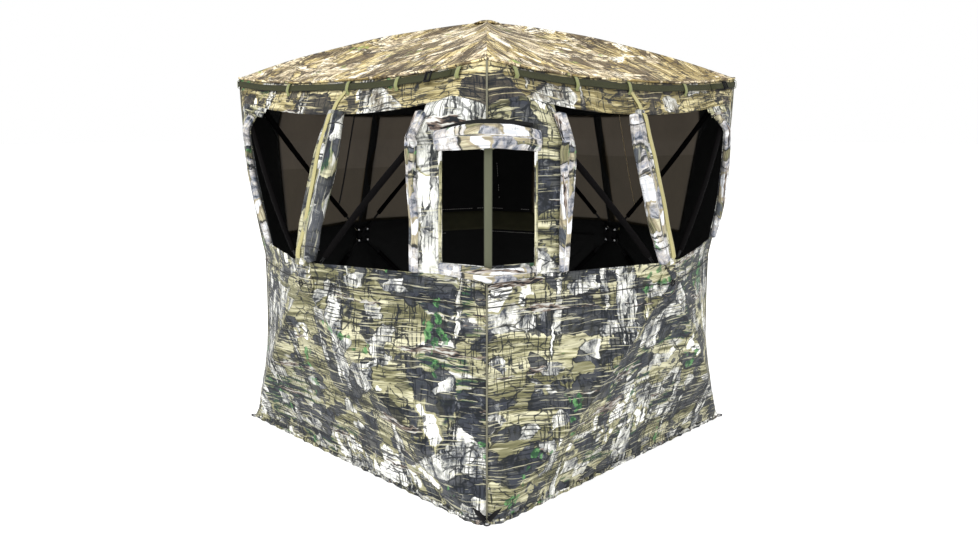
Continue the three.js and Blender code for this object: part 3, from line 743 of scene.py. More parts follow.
# ================================================================ cloth skins
STEPS = 44                                 # cells from a panel's middle to its edge
HEM = 0.016                                # width of the folded hems, as a share of half a side
marks = [T_PANEL, T_PANEL + HEM, S_SILL, S_SILL - HEM, S_VALANCE, S_VALANCE + HEM,
         WINDOW_T, WINDOW_T - HEM, WINDOW_S[0], WINDOW_S[0] - HEM, WINDOW_S[1], WINDOW_S[1] + HEM]
even = [k / STEPS for k in range(STEPS + 1)]
GRID = sorted(marks + [k for k in even if min(abs(k - m) for m in marks) > 0.3 / STEPS])


def sector_faces(sector):
    """The cells of one of the four triangles of a panel, as corners of (t, s)."""
    cells = []
    for i in range(len(GRID) - 1):
        near, far = GRID[i], GRID[i + 1]
        cells.append(((near, near), (far, near), (far, far)))
        cells.append(((near, -near), (far, -far), (far, -near)))
        for j in range(-i, i):
            low = GRID[j] if j >= 0 else -GRID[-j]
            high = GRID[j + 1] if j + 1 >= 0 else -GRID[-j - 1]
            cells.append(((near, low), (far, low), (far, high), (near, high)))
    spin = {"right": lambda a, b: (a, b), "left": lambda a, b: (-a, -b),
            "top": lambda a, b: (-b, a), "bottom": lambda a, b: (b, -a)}[sector]
    return [tuple(spin(*c) for c in cell) for cell in cells]


def centre_of(cell):
    return sum(c[0] for c in cell) / len(cell), sum(c[1] for c in cell) / len(cell)


def in_opening(cell, side):
    """Whether a cell of a wall lies in a side window or in the corner window."""
    t, s = centre_of(cell)
    at_corner = (side == FRONT and t > 0) or (side == RIGHT and t < 0)
    return (S_SILL < s < S_VALANCE and abs(t) < T_PANEL
            or at_corner and WINDOW_S[0] < s < WINDOW_S[1] and abs(t) > WINDOW_T)


# the outer edges of the openings next to the two side corners, as (height, distance across)
CURVED = {(FRONT, -1): [(0.84, 0.425), (0.95, 0.480), (1.04, 0.515), (1.15, 0.548),
                        (1.25, 0.560), (1.33, 0.552), (1.41, 0.530)],
          (RIGHT, 1): [(0.84, 0.640), (0.95, 0.668), (1.04, 0.672), (1.15, 0.650),
                       (1.25, 0.600), (1.33, 0.545), (1.41, 0.490)]}


def cut_curved(obj, side, sign):
    """Widens an opening to its curved outer edge, one straight cut in each band of height."""
    across = turned((sign, 0, 0), side)
    for (z0, x0), (z1, x1) in zip(CURVED[side, sign], CURVED[side, sign][1:]):
        origin = turned((sign * x0, 0, z0), side)
        normal = turned((z1 - z0, 0, sign * (x0 - x1)), side)
        in_band = lambda c: z0 < c.z < z1 and c.dot(across) > 0.2

        def cut(b):
            for z in (z0, z1):
                knife(b, (0, 0, z), (0, 0, 1))
            geom = {}
            for f in b.faces:
                if in_band(f.calc_center_median()):
                    geom.update(dict.fromkeys([f, *f.edges, *f.verts]))
            if geom:
                knife(b, origin, normal, list(geom))
            drop(b, lambda c: in_band(c) and SILL_Z < c.z < VALANCE_Z
                 and (c - origin).dot(normal) * sign < 0)
        edit(obj, cut)


def hem_thickness(t, s):
    """Extra thickness in the folded hems round the openings."""
    across = abs(t)
    near_side = (S_SILL - HEM - 1e-6 <= s <= S_VALANCE + HEM + 1e-6
                 and across <= T_PANEL + HEM + 1e-6)
    inside = S_SILL < s < S_VALANCE and across < T_PANEL
    return 0.0022 if near_side and not inside else 0.0


def cloth_lift(t, s, side):
    """Folds and slack in a wall: sagging near the ground and creases off the corners."""
    u, v = t * HALF_SIDE, s * HUB_Z
    reach = max(abs(t), abs(s))
    calm = min(1.0, (1 - reach) / 0.15)
    lift = 0.0040 * wobble(u, v, side + 1, 4.5) * calm
    lift += 0.0022 * wobble(u, v * 2.2, side + 11, 9) * calm
    ground = max(0.0, 1 - (s + 1) / 0.17)
    gather = math.sin(u * 88 + 2.4 * math.sin(u * 29 + side)) + 0.6 * math.sin(u * 161 + side)
    lift += ground ** 1.4 * 0.0034 * gather
    if s < 0:
        lift -= 0.004 * (1 - abs(t)) * (s + 1) * -s * 4 * (0.5 + 0.5 * math.sin(u * 9 + side * 2))
        fan = math.atan2(abs(s + 1) + 0.02, 1 - abs(t) + 0.02)
        spread = math.hypot(1 - abs(t), s + 1)
        crease = math.sin(fan * 21 + side + math.copysign(1, t))
        lift += 0.0034 * math.exp(-(spread / 0.5) ** 2) * crease * min(1, spread * 8)
    ray = math.atan2(s, t)
    hub_fold = math.sin(ray * 13 + side) * math.exp(-(reach / 0.26) ** 2) * min(1, reach * 14)
    return lift + 0.0024 * hub_fold


def cloth_mesh(name, cells, place, uv_of, material):
    index, points, uvs, faces = {}, [], [], []
    for cell in cells:
        middle = centre_of(cell)
        face = []
        for t, s in cell:
            key = (round(t, 6), round(s, 6))
            if key not in index:
                index[key] = len(points)
                points.append(place(t, s))
            uvs.append(uv_of(t, s, middle))
            face.append(index[key])
        faces.append(face)
    return new_piece(name, points, faces, material, loop_uvs=uvs)


def towards(obj, direction):
    """Makes an open cloth face the way that its wall faces."""
    total = sum((p.normal * p.area for p in obj.data.polygons), Vector((0, 0, 0)))
    if total.dot(Vector(direction)) < 0:
        obj.data.flip_normals()
    return obj


WALL_OUT = [(0, -1, 0), (1, 0, 0), (0, 1, 0), (-1, 0, 0)]

# where the edges of the openings lie across the walls, as (height, distance from the middle)
FRONT_EDGE = [(0.85, 0.468), (1.03, 0.495), (1.14, 0.498), (1.27, 0.512), (1.33, 0.521),
              (1.41, 0.531)]
RIGHT_EDGE = [(0.85, 0.457), (1.03, 0.474), (1.155, 0.484), (1.277, 0.497), (1.33, 0.492),
              (1.41, 0.494)]
PANEL_EDGE = {(FRONT, 1): FRONT_EDGE, (RIGHT, -1): RIGHT_EDGE,
              (LEFT, 1): [(0.85, 0.545), (1.41, 0.530)],
              (BACK, -1): [(0.85, 0.495), (1.15, 0.530), (1.41, 0.570)]}
WINDOW_EDGE = {FRONT: [(0.896, 0.571), (1.09, 0.593), (1.265, 0.610)],
               RIGHT: [(0.896, 0.562), (1.09, 0.584), (1.265, 0.601)]}
VALANCE_RISE = 0.018           # how much higher the valance's edge is near the corners
LEAN_FADE = 0.09               # how far past an opening its slanted edges still bend the cloth


def edge_shares(edge):
    """The same edge as (height, share of half a side), from the true place of each point."""
    heights = stations(SILL_Z - 0.06, VALANCE_LINE + 0.06, 24)
    return [(z, find_place(along(edge, z), z)[0]) for z in heights]


PANEL_SHARE = {key: edge_shares(edge) for key, edge in PANEL_EDGE.items()}
WINDOW_SHARE = {key: edge_shares(edge) for key, edge in WINDOW_EDGE.items()}
CURVED_SHARE = {key: edge_shares(edge) for key, edge in CURVED.items()}


def lean(t, s, side):
    """Moves the openings' edges sideways, and the valance's edge up near the corners."""
    z = HUB_Z * (1 + s)
    sign = 1 if t > 0 else -1
    across = abs(t)
    beyond = max(SILL_Z - z, z - VALANCE_LINE, 0.0)
    fade = max(0.0, 1 - beyond / LEAN_FADE)
    panel = 0.0
    if (side, sign) in PANEL_EDGE:
        panel = along(PANEL_SHARE[side, sign], z) - T_PANEL
    elif (side, sign) in CURVED:
        panel = min(0.0, along(CURVED_SHARE[side, sign], z) - T_PANEL)
    at_corner = (side, sign) in ((FRONT, 1), (RIGHT, -1))
    window = along(WINDOW_SHARE[side], z) - WINDOW_T if at_corner else panel * 0.5
    if across < T_PANEL:
        shift = panel * clamp((across - 0.2) / (T_PANEL - 0.2), 0, 1)
    elif across < WINDOW_T:
        shift = panel + (window - panel) * (across - T_PANEL) / (WINDOW_T - T_PANEL)
    else:
        shift = window * (1 - across) / (1 - WINDOW_T)
    tent = (s - S_SILL) / (S_VALANCE - S_SILL) if s < S_VALANCE else (1 - s) / (1 - S_VALANCE)
    share = clamp(tent, 0, 1) * clamp((1 - across) * 6, 0, 1)
    return t + sign * shift * fade, s + VALANCE_RISE / HUB_Z * (t / 0.62) ** 2 * share


TUCK, TUCK_WIDTH, TUCK_TOP = 0.024, 0.095, 0.30     # how deep, how wide and how high it reaches
FLARE = 0.010                                       # how far the ground hem stands out


def soften(p, side):
    """Rounds the foot of the near corner, where its hem is tucked under."""
    near = (side == FRONT and p.x > 0) or (side == RIGHT and p.x < 0)
    if near and p.z < TUCK_TOP:
        beside = max(0.0, 1 - (HALF_SIDE - abs(p.x)) / TUCK_WIDTH)
        depth = TUCK * (beside ** 2 * (1 - p.z / TUCK_TOP) ** 1.5)
        p.x -= math.copysign(depth, p.x)
        p.y += depth
    return p


def place_on_wall(side):
    def place(t, s):
        flare = FLARE * max(0.0, 1 - (s + 1) / 0.10) ** 2
        lift = cloth_lift(t, s, side) + hem_thickness(t, s) + flare
        t, s = lean(t, s, side)
        if max(abs(t), abs(s)) > 1 - 1e-6:
            lift = flare
        p = wall_point(t, s, lift)
        if s < -1 + 1e-6:
            p.z = 0.0005
        return turned(soften(p, side), side)
    return place


# door in the back wall: its outline, as in the CAD model
DOOR = {"hinge": 0.660, "low": 0.150, "high": 0.735, "far": 0.150, "far_low": 0.690,
        "tape": 0.026, "gap": 0.003, "low_gap": 0.007, "hole": 0.006}


def door_outline(margin, low_margin=None):
    slope = (DOOR["far_low"] - DOOR["low"]) / (DOOR["hinge"] - DOOR["far"])
    slant = (margin if low_margin is None else low_margin) * math.hypot(1, slope)
    low_at = lambda x: DOOR["low"] + (DOOR["hinge"] - x) * slope - slant
    near, far, top = DOOR["hinge"] + margin, DOOR["far"] - margin, DOOR["high"] + margin
    return [(near, low_at(near)), (near, top), (far, top), (far, low_at(far))]


def cut_outline(obj, side, outline, keep_inside):
    """Cuts an open cloth along an outline of (across, height) and keeps one side of it."""
    planes = []
    for i, (x0, z0) in enumerate(outline):
        x1, z1 = outline[(i + 1) % len(outline)]
        planes.append((turned((x0, 0, z0), side), turned((z1 - z0, 0, x0 - x1), side)))
    middle = turned((sum(p[0] for p in outline) / 4, 0, sum(p[1] for p in outline) / 4), side)
    signs = [1 if (middle - o).dot(n) > 0 else -1 for o, n in planes]

    def cut(b):
        for origin, normal in planes:
            knife(b, origin, normal)
        drop(b, lambda c: keep_inside != all(k * (c - o).dot(n) > 0
                                             for k, (o, n) in zip(signs, planes)))

    return edit(obj, cut)


# where each cut of cloth starts in the printed pattern, in metres
LOWER_PRINT = (0.0, 0.0)
PANEL_PRINT = (5.3, 2.75)
VALANCE_PRINT = (8.1, 1.3)


def wall_uv(side):
    """Flat places in the print: each sewn cut of a wall has its own part of it."""
    def uv_of(t, s, middle):
        du, dv = (VALANCE_PRINT if middle[1] > S_VALANCE else
                  PANEL_PRINT if middle[1] > S_SILL else LOWER_PRINT)
        if side == RIGHT and middle[1] > S_SILL:
            du += 2.0 * HALF_SIDE
        elif side:
            du += 2.1 * side
            dv += 0.37 * side
        return t * HALF_SIDE + du, s * HUB_Z + dv
    return uv_of


SECTOR_NAME = {"bottom": "skirt", "left": "side_left", "right": "side_right", "top": "head"}


def corner_of(side, sector):
    """The corner panel that a side sector is half of."""
    return CORNERS[side] if sector == "right" else CORNERS[(side - 1) % 4]


def flat_area(obj):
    return sum(p.area for p in obj.data.polygons)


def cut_from(obj, size, area):
    """Clamps a cut's flat area to between 0.305 and 1 times the cloth it was cut from, and keeps
    nothing: size is the cloth it was cut from, and area the cut's own flat area.
    """
    whole = size[0] * size[1]
    clamp(area, 0.305 * whole, whole)


def wall_skins(side):
    for sector, label in SECTOR_NAME.items():
        cells = [c for c in sector_faces(sector) if not in_opening(c, side)]
        above_sill = [c for c in cells if sector != "top" or centre_of(c)[1] > S_VALANCE - 0.3]
        near_hub = [c for c in cells if c not in above_sill] if sector == "top" else []
        for part, group in ((label, above_sill), ("hub_gusset", near_hub)):
            if not group:
                continue
            obj = cloth_mesh(f"{SIDES[side]}_{part}", group, place_on_wall(side), wall_uv(side),
                             [CAMO_WALL, INNER, CAMO_HEAD, INNER, CAMO_BARK, INNER])
            for polygon, cell in zip(obj.data.polygons, group):
                t, s = centre_of(cell)
                if s > S_VALANCE:
                    polygon.material_index = 2
                elif side == FRONT and s > S_SILL and t > T_PANEL:
                    polygon.material_index = 4
            towards(obj, WALL_OUT[side])
            for (curved_side, sign) in CURVED:
                if curved_side == side and part != "hub_gusset" and sector != "bottom":
                    cut_curved(obj, side, sign)
            if side == BACK and sector == "right":
                cut_outline(obj, side, door_outline(DOOR["tape"] + DOOR["hole"]), False)
            area = flat_area(obj)
            thicken(obj, CLOTH, 1)
            cad = [f"lower_wall_{SIDES[side]}"]
            if sector in ("left", "right"):
                cad.append(f"corner_panel_{corner_of(side, sector)}")
            if part == "head":
                cad.append("valance_band")
            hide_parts(*cad)
            follow_wall(obj, side, sector)
            size = {"skirt": (2 * HALF_SIDE, HUB_Z), "head": (2 * HALF_SIDE, HUB_Z * 0.42),
                    "hub_gusset": (0.157, 0.08)}.get(part, (2 * HUB_Z, HALF_SIDE))
            cut_from(obj, size, area)


def mesh_panel(side):
    """The one-way mesh behind a side opening, lapped behind the hems."""
    cells = [c for sector in ("top", "left", "right", "bottom") for c in sector_faces(sector)
             if abs(centre_of(c)[0]) < T_PANEL + HEM
             and S_SILL - HEM < centre_of(c)[1] < S_VALANCE + HEM]

    def place(t, s):
        slack = 0.0022 * math.sin(t * 41 + 1.5 * math.sin(t * 17)) * min(1, (1 - abs(t)) * 4)
        back = -0.0048 + slack * (1 - abs(2 * (s - 0.45)) ** 2)
        return turned(wall_point(*lean(t, s, side), back), side)

    lower = 0.065 if side == BACK else 0.0       # the back's painted shade ends higher up
    flat_uv = lambda t, s, middle: (t * HALF_SIDE + 2 * side, s * HUB_Z - lower)
    obj = cloth_mesh(f"{SIDES[side]}_window_mesh", cells, place, flat_uv, MESH)
    towards(obj, WALL_OUT[side])
    for part in split_wall(obj, side, [f"window_mesh_{SIDES[side]}"]):
        area = flat_area(part)
        low = [min(v.co[k] for v in part.data.vertices) for k in range(3)]
        high = [max(v.co[k] for v in part.data.vertices) for k in range(3)]
        width = math.hypot(high[0] - low[0], high[1] - low[1])
        height = high[2] - low[2]
        cut_from(part, (width, height), area)


def roof_skins():
    order = {"bottom": "front", "right": "right", "top": "back", "left": "left"}
    for number, (sector, side_name) in enumerate(order.items()):
        def place(t, s):
            reach = max(abs(t), abs(s))
            calm = min(1.0, (1 - reach) / 0.1)
            lift = 0.0040 * wobble(t * HALF_SIDE, s * HALF_SIDE, 21, 4.0) * calm
            share = min(abs(t), abs(s)) / max(reach, 1e-9)
            ridge = 0.0016 * max(0.0, 1 - (1 - share) * reach * HALF_SIDE / 0.012)
            p = roof_point(t, s, lift + ridge)
            if reach > 1 - 1e-6:
                p.x *= 1 + 0.004 / HALF_SIDE
                p.y *= 1 + 0.004 / HALF_SIDE
            return p

        def uv_of(t, s, middle):
            across, up = {"bottom": (t, s), "top": (-t, -s), "right": (s, -t),
                          "left": (-s, t)}[sector]
            return across * HALF_SIDE + 1.7 * number, up * HALF_SIDE * 1.04

        obj = cloth_mesh(f"roof_gore_{side_name}", sector_faces(sector), place, uv_of,
                         [CAMO_ROOF_LIT, INNER])
        towards(obj, (0, 0, 1))
        area = flat_area(obj)
        thicken(obj, CLOTH, 1)
        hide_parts("roof_canopy")
        follow_roof(obj, side_name)
        cut_from(obj, (2 * HALF_SIDE, 0.80), area)


for side in range(4):
    wall_skins(side)
for side in (BACK, LEFT):
    mesh_panel(side)
roof_skins()


# ================================================================ rods, sleeves and hubs
WALL_RODS = {"up_right": (1, 1), "up_left": (-1, 1), "low_left": (-1, -1), "low_right": (1, -1)}
ROOF_RODS = {"back_right": (1, 1), "back_left": (-1, 1), "front_left": (-1, -1),
             "front_right": (1, -1)}
ROD_STATIONS = stations(0.105, 0.975, 26)      # along a diagonal, from the hub to the corner
ROD_LIFT = -0.0165                             # just inside the cloth


def rod_pieces(name, path, out, follow, cad):
    """A rod in its cloth sleeve, with the moulded tip bare at the corner."""
    size = len(path)
    sleeve = path[1:size - 3]
    outs = [out] * size
    folds = lambda angle, share, run: 1 + 0.05 * math.sin(2 * angle + run * 9) + 0.05 * math.sin(
        run * 61 + math.sin(run * 17))
    cover = oval_tube(f"{name}_sleeve", sleeve, outs, 0.0120, 0.0095, SLEEVE, 14, folds)
    rod = cord_tube(f"{name}_shaft", path, 0.0052, ROD, 10)
    tip = cord_tube(f"{name}_tip", path[size - 3:], 0.0085, HUB, 12)
    piece = join(name, [cover, rod, tip])
    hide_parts(cad)
    follow(piece)


for side in range(4):
    for label, (right, up) in WALL_RODS.items():
        path = [turned(wall_point(right * u, up * u, ROD_LIFT), side) for u in ROD_STATIONS]
        sector = "right" if right > 0 else "left"
        rod_pieces(f"{SIDES[side]}_rod_{label}_sleeved", path, WALL_OUT[side],
                   lambda o: follow_wall(o, side, sector), f"rod_{SIDES[side]}_{label}")
for label, (right, back) in ROOF_RODS.items():
    path = [roof_point(right * u, back * u, ROD_LIFT) for u in ROD_STATIONS]
    rod_pieces(f"roof_rod_{label}_sleeved", path, (0, 0, 1),
               lambda o: follow_roof(o, "right" if right > 0 else "left"), f"rod_roof_{label}")


def ferrule(body, hub, direction, axis):
    """The rod's pinned end in its hub slot. It turns with the rod's own joint."""
    start = hub + direction * (PIN_R - 0.006)
    shaft = cord_tube(f"{body}_ferrule", [start, start + direction * 0.02,
                                          start + direction * 0.046], 0.0058, HUB, 14)
    sideways = direction.cross(axis).normalized()
    pin = hub + direction * PIN_R
    bolt = cord_tube(f"{body}_pin", [pin - sideways * 0.0062, pin + sideways * 0.0062],
                     0.0024, STEEL, 12, 0.15)
    # the rivet head's near-white colour is a painted highlight
    head = hub + direction * 0.040 - axis * 0.0072
    rivet = cord_tube("rivet", [head, head - axis * 0.0016, head - axis * 0.0032], 0.0050, RIVET_GLINT_WHITE,
                      14, 0.25)
    fixed(join(f"{body}_ferrule", [shaft, bolt, rivet]), body)


def hub_detail(name, hub, axis, body, shift):
    """Outside a hub: a stitched cloth patch in the same print, and its pull ring."""
    low = PIN_DEPTH + 0.0004
    a = (axis.orthogonal() if name == "roof" else Vector((0, 0, 1)).cross(axis)).normalized()
    b = axis.cross(a)
    patch = turned_disc(f"hub_patch_{name}", hub, axis,
                        [(0.052, low - 0.0080), (0.0565, low - 0.0062), (0.0558, low - 0.0044),
                         (0.046, low - 0.0016), (0.036, low + 0.0034), (0.024, low + 0.0070),
                         (0.012, low + 0.0083), (0.003, low + 0.0086)],
                        CAMO_ROOF_LIT if name == "roof" else CAMO_WALL, 48, a, shift)
    fixed(patch, body, [f"hub_cap_{name}"])
    stitches = []
    for k in range(40):
        angle = 2 * math.pi * k / 40
        flat = a * math.cos(angle) + b * math.sin(angle)
        turn = a * -math.sin(angle) + b * math.cos(angle)
        at = hub + flat * 0.0515 + axis * (low - 0.0026)
        stitches.append(cord_tube("stitch", [at - turn * 0.0026, at, at + turn * 0.0026], 0.0005,
                                  TIE, 6))
    fixed(join(f"hub_patch_stitching_{name}", stitches), body)
    if name == "roof":
        return
    ring = [hub + axis * (low + 0.0125) + (a * math.cos(k) + b * math.sin(k)) * 0.011
            for k in stations(0, 2 * math.pi, 24)]
    loop = [hub + axis * (low + 0.0075) - a * 0.010, hub + axis * (low + 0.013) - a * 0.011,
            hub + axis * (low + 0.0155) - a * 0.006, hub + axis * (low + 0.0075) - a * 0.002]
    pull = [cord_tube("ring", ring, 0.0021, HUB, 10, 0.0), cord_tube("loop", loop, 0.0028, CORD, 8)]
    fixed(join(f"hub_pull_ring_{name}", pull), body)


STEEL = plastic("pin_steel", (0.32, 0.32, 0.33), 0.30, 300)
wall_tilt = math.atan2(HUB_Z, HALF_SIDE)
for side, name in enumerate(SIDES):
    hub = turned((0, -(HALF_SIDE + WALL_BULGE - PIN_DEPTH), HUB_Z), side)
    axis = Vector(WALL_OUT[side])
    hub_detail(name, hub, axis, f"{name}_hub", (2.1 * side, 0.37 * side))
    for label, (right, up) in WALL_RODS.items():
        direction = turned((right * math.cos(wall_tilt), 0, up * math.sin(wall_tilt)), side)
        ferrule(f"{name}_rod_{label}", hub, direction, axis)
roof_hub = Vector((0, 0, EAVE_Z + ROOF_BULGE - PIN_DEPTH))
hub_detail("roof", roof_hub, Vector((0, 0, 1)), "roof_hub", (0.4, 0.3))
for label, (right, back) in ROOF_RODS.items():
    ferrule(f"roof_rod_{label}", roof_hub, Vector((right, back, 0)).normalized(),
            Vector((0, 0, 1)))
for name in SIDES + ["roof"]:
    body = nodes[f"hub_{name}"]
    body.data.materials.clear()
    body.data.materials.append(HUB)


# ================================================================ straps, tapes and rolls
def on_eave(side, x, drop, lift):
    """A place near a wall's upper edge: drop below the eave line, lift out from the cloth."""
    top = wall_point(clamp(x / HALF_SIDE), 1)
    return wall_frame(side, top.x, top.z - drop, lift)


EAVE_DROP = 0.026              # the strap's middle line, below the eave
STRAP_WIDTH = 0.025
TAB_X = (-0.345, 0.0, 0.345)   # the tape loops; the middle one meets the pale tape
STRAP_SPAN = {FRONT: (-0.752, 0.655), RIGHT: (-0.655, 0.752), BACK: (-0.655, 0.655),
              LEFT: (-0.655, 0.655)}
LADDER_X = {FRONT: 0.513, RIGHT: 0.648, BACK: 0.53, LEFT: 0.53}


def eave_strap(side):
    x0, x1 = STRAP_SPAN[side]
    rows = [on_eave(side, x, EAVE_DROP + 0.0015 * math.sin(x * 9 + side),
                    0.0070 + 0.0012 * math.sin(x * 23 + side)) for x in stations(x0, x1, 60)]
    strap = ribbon(f"{SIDES[side]}_eave_webbing", rows, STRAP_WIDTH, 0.0018, WEBBING, 6, 2)
    fixed(strap, "root", [f"eave_strap_{SIDES[side]}"])
    for number, x in enumerate(TAB_X):
        x = along(TAPE_X[side], 1.487) if x == 0.0 else x
        tab(side, x, f"{SIDES[side]}_strap_tab_{number + 1}")
    for end, x in enumerate((x0, x1)):
        rows = [on_eave(side, x, EAVE_DROP + d, lift) for d, lift in
                ((-0.019, 0.002), (-0.014, 0.0105), (0.0, 0.0118), (0.014, 0.0105), (0.019, 0.002))]
        bar = ribbon(f"{SIDES[side]}_strap_anchor_{end + 1}", rows, 0.020, 0.0012, TAB_TAPE)
        fixed(bar, "root")
    ladder_lock(side, LADDER_X[side])


def tab(side, x, name):
    """A loop of tape, sewn above and below, that holds the eave strap."""
    drops = ((-0.021, 0.0015), (-0.017, 0.0085), (-0.008, 0.0112), (0.008, 0.0112),
             (0.017, 0.0085), (0.021, 0.0015), (0.028, 0.0012))
    rows = [on_eave(side, x, EAVE_DROP + d, lift) for d, lift in drops]
    fixed(ribbon(name, rows, 0.019, 0.0013, TAB_TAPE), "root")


def ladder_lock(side, x):
    """The plastic slider that the loose end of the eave strap comes back through."""
    at, across, up, out = on_eave(side, x, EAVE_DROP, 0.0105)
    bars = [cord_tube("bar", [at + across * d + up * h + out * 0.0035
                              for h in (-0.015, 0, 0.015)], 0.0032, HUB, 10)
            for d in (-0.013, -0.003, 0.013)]
    bars += [cord_tube("rail", [at + across * d + up * h + out * 0.0025
                                for d in (-0.014, 0, 0.014)], 0.0034, HUB, 10)
             for h in (-0.0155, 0.0155)]
    fixed(join(f"{SIDES[side]}_ladder_lock", bars), "root")
    toward = -1 if side == RIGHT else 1
    rows = [on_eave(side, x + toward * d, EAVE_DROP + 0.001, lift) for d, lift in
            ((-0.012, 0.0105), (0.0, 0.0140), (0.012, 0.0112), (0.05, 0.0104), (0.11, 0.0106))]
    tail = ribbon(f"{SIDES[side]}_strap_tail", rows, STRAP_WIDTH * 0.96, 0.0016, WEBBING, 4, 2)
    fixed(tail, "root")


def roll_shape(seed, folds=0.10):
    """Soft gathers along a roll: a spiral edge, lengthways creases and cross puckers."""
    def shape(angle, share, run):
        wrap = (angle / (2 * math.pi) + 0.35 * share + 0.11 * seed) % 1.0
        k = 1 + 0.10 * (wrap - 0.5)
        k += folds * 0.6 * math.sin(3 * angle + 9 * share + seed)
        k += folds * wobble(angle * 1.1, run * 9, seed, 1.0)
        k += folds * 0.7 * wobble(angle * 0.5, run * 31, seed + 3, 1.0)
        return k
    return shape


def upright_roll(name, side, edge, low, high, half_wide, half_deep, seed, cad, clear,
                 material=CAMO_ROLL):
    """A rolled cover tied upright: edge(z) gives its place across the wall."""
    rows = [wall_frame(side, edge(z), z, half_deep((z - low) / (high - low)) + clear)
            for z in stations(low, high, 46)]
    roll = tube_on(name, rows, half_wide, half_deep, material, 22, roll_shape(seed), 0.3)
    split_wall(roll, side, cad)


def swell(ends, middle, power=1.0):
    return lambda share: ends + (middle - ends) * math.sin(math.pi * clamp(share, 0, 1)) ** power


# places across the wall of the pieces over the front and right hubs, as (height, distance)
BAND_X = {FRONT: [(0.86, -0.034), (0.98, -0.040), (1.09, -0.038), (1.22, -0.030), (1.30, -0.020),
                  (1.41, -0.012)],
          RIGHT: [(0.85, 0.010), (1.15, 0.012), (1.41, 0.004)]}
BAND_HALF = {FRONT: swell(0.030, 0.054), RIGHT: swell(0.030, 0.034)}
TAPE_X = {FRONT: [(0.74, -0.018), (0.83, -0.038), (0.89, -0.050), (0.94, -0.043),
                  (1.05, -0.039), (1.16, -0.042), (1.26, -0.041), (1.32, -0.031),
                  (1.38, -0.016), (1.43, 0.003), (1.487, 0.058)],
          RIGHT: [(0.74, 0.022), (0.82, 0.031), (0.91, 0.034), (1.15, 0.033), (1.27, 0.026),
                  (1.37, 0.022), (1.42, 0.010), (1.487, -0.035)],
          BACK: [(0.78, 0.0), (1.49, 0.0)], LEFT: [(0.78, 0.0), (1.49, 0.0)]}
ROLL_X = {FRONT: [(0.86, 0.043), (0.98, 0.041), (1.075, 0.055), (1.16, 0.062), (1.25, 0.064),
                  (1.36, 0.050), (1.41, 0.048)],
          RIGHT: [(0.85, -0.043), (0.97, -0.060), (1.14, -0.061), (1.267, -0.062), (1.38, -0.050)]}


def centre_band(side):
    """The strip over a hub between its two openings; black inside like the walls."""
    name = SIDES[side]
    low, top = SILL_Z - 0.014, VALANCE_Z + 0.012
    if side in BAND_X:
        edge, half = BAND_X[side], BAND_HALF[side]
    else:
        edge, half = [(low, 0.0), (top, 0.0)], swell(0.021, 0.021)
    rows = [wall_frame(side, along(edge, z), z, 0.001 + 0.002 * math.sin(z * 21 + side))
            for z in stations(low, top, 48)]
    outer = tube_on(f"{name}_centre_strip", [(r[0] + r[3] * 0.004, *r[1:]) for r in rows], half,
                    0.0065 if side in BAND_X else 0.0016, CAMO_STRIP, 18, roll_shape(side + 30),
                    0.2)
    split_wall(outer, side, [f"centre_strip_{name}"])
    behind = [(r[0] - r[3] * 0.0065, *r[1:]) for r in rows]
    split_wall(ribbon(f"{name}_centre_strip_lining", behind, 0.046, 0.0012, INNER), side)


def centre_tape(side):
    """The pale tape from the eave strap's middle tab, over the valance, down to the hub."""
    name = SIDES[side]
    rows = []
    for z in stations(0.836, 1.487, 70):
        lift = 0.0125 if SILL_Z < z < VALANCE_Z and side in BAND_X else 0.0040
        rows.append(wall_frame(side, along(TAPE_X[side], z), z, lift + 0.001 * math.sin(z * 37)))
    tape = ribbon(f"{name}_centre_tape", rows, 0.024 if side in BAND_X else 0.019, 0.0014,
                  TAN_TAPE)
    split_wall(tape, side, ())


for side in range(4):
    eave_strap(side)
    centre_band(side)
    centre_tape(side)

upright_roll("front_centre_roll", FRONT, lambda z: along(ROLL_X[FRONT], z), 0.862, 1.392,
             lambda u: 0.047 - 0.015 * u, swell(0.017, 0.026), 1, ["cover_roll_front_centre"],
             0.002, CAMO_DARK)
upright_roll("right_centre_roll", RIGHT, lambda z: along(ROLL_X[RIGHT], z), 0.852, 1.378,
             swell(0.036, 0.046), swell(0.016, 0.024), 2, ["cover_roll_right_centre"], 0.002)
upright_roll("front_corner_roll", FRONT, lambda z: along(FRONT_EDGE, z), 0.862, 1.386,
             lambda u: 0.0165 + 0.012 * clamp(u * 3 - 2, 0, 1), swell(0.010, 0.014), 3,
             ["cover_roll_front_corner"], 0.001)
upright_roll("right_corner_roll", RIGHT, lambda z: -along(RIGHT_EDGE, z), 0.862, 1.380,
             lambda u: 0.018 + 0.014 * u, swell(0.010, 0.014), 4, ["cover_roll_right_corner"],
             0.001)
for (side, sign), edge in CURVED.items():
    upright_roll(f"{SIDES[side]}_side_corner_roll", side,
                 lambda z: sign * (along(edge, z) + 0.012), 0.864, 1.384,
                 swell(0.020, 0.027), swell(0.011, 0.016), 5 + side, (), 0.001)

# tie loops round the rolls
for side in (FRONT, RIGHT):
    ties = []
    for z in (0.905, 1.345):
        at, across, up, out = wall_frame(side, along(ROLL_X[side], z), z, 0.021)
        wide = 0.051 if side == FRONT and z < 1 else 0.041
        ring = [at + across * (wide * math.cos(k)) + out * (0.0225 * math.sin(k)) + up *
                (0.004 * math.sin(k * 2)) for k in stations(0, 2 * math.pi, 28)]
        ties.append(cord_tube("tie", ring, 0.0017, BLACK_TAPE, 8, 0.0))
    tie = join(f"{SIDES[side]}_roll_ties", ties)
    split_wall(tie, side, ())


# ================================================================ the corner window's flaps
NEAR_OUT = Vector((1, -1, 0)).normalized()          # outward and across at the near corner
NEAR_ACROSS = Vector((1, 1, 0)).normalized()


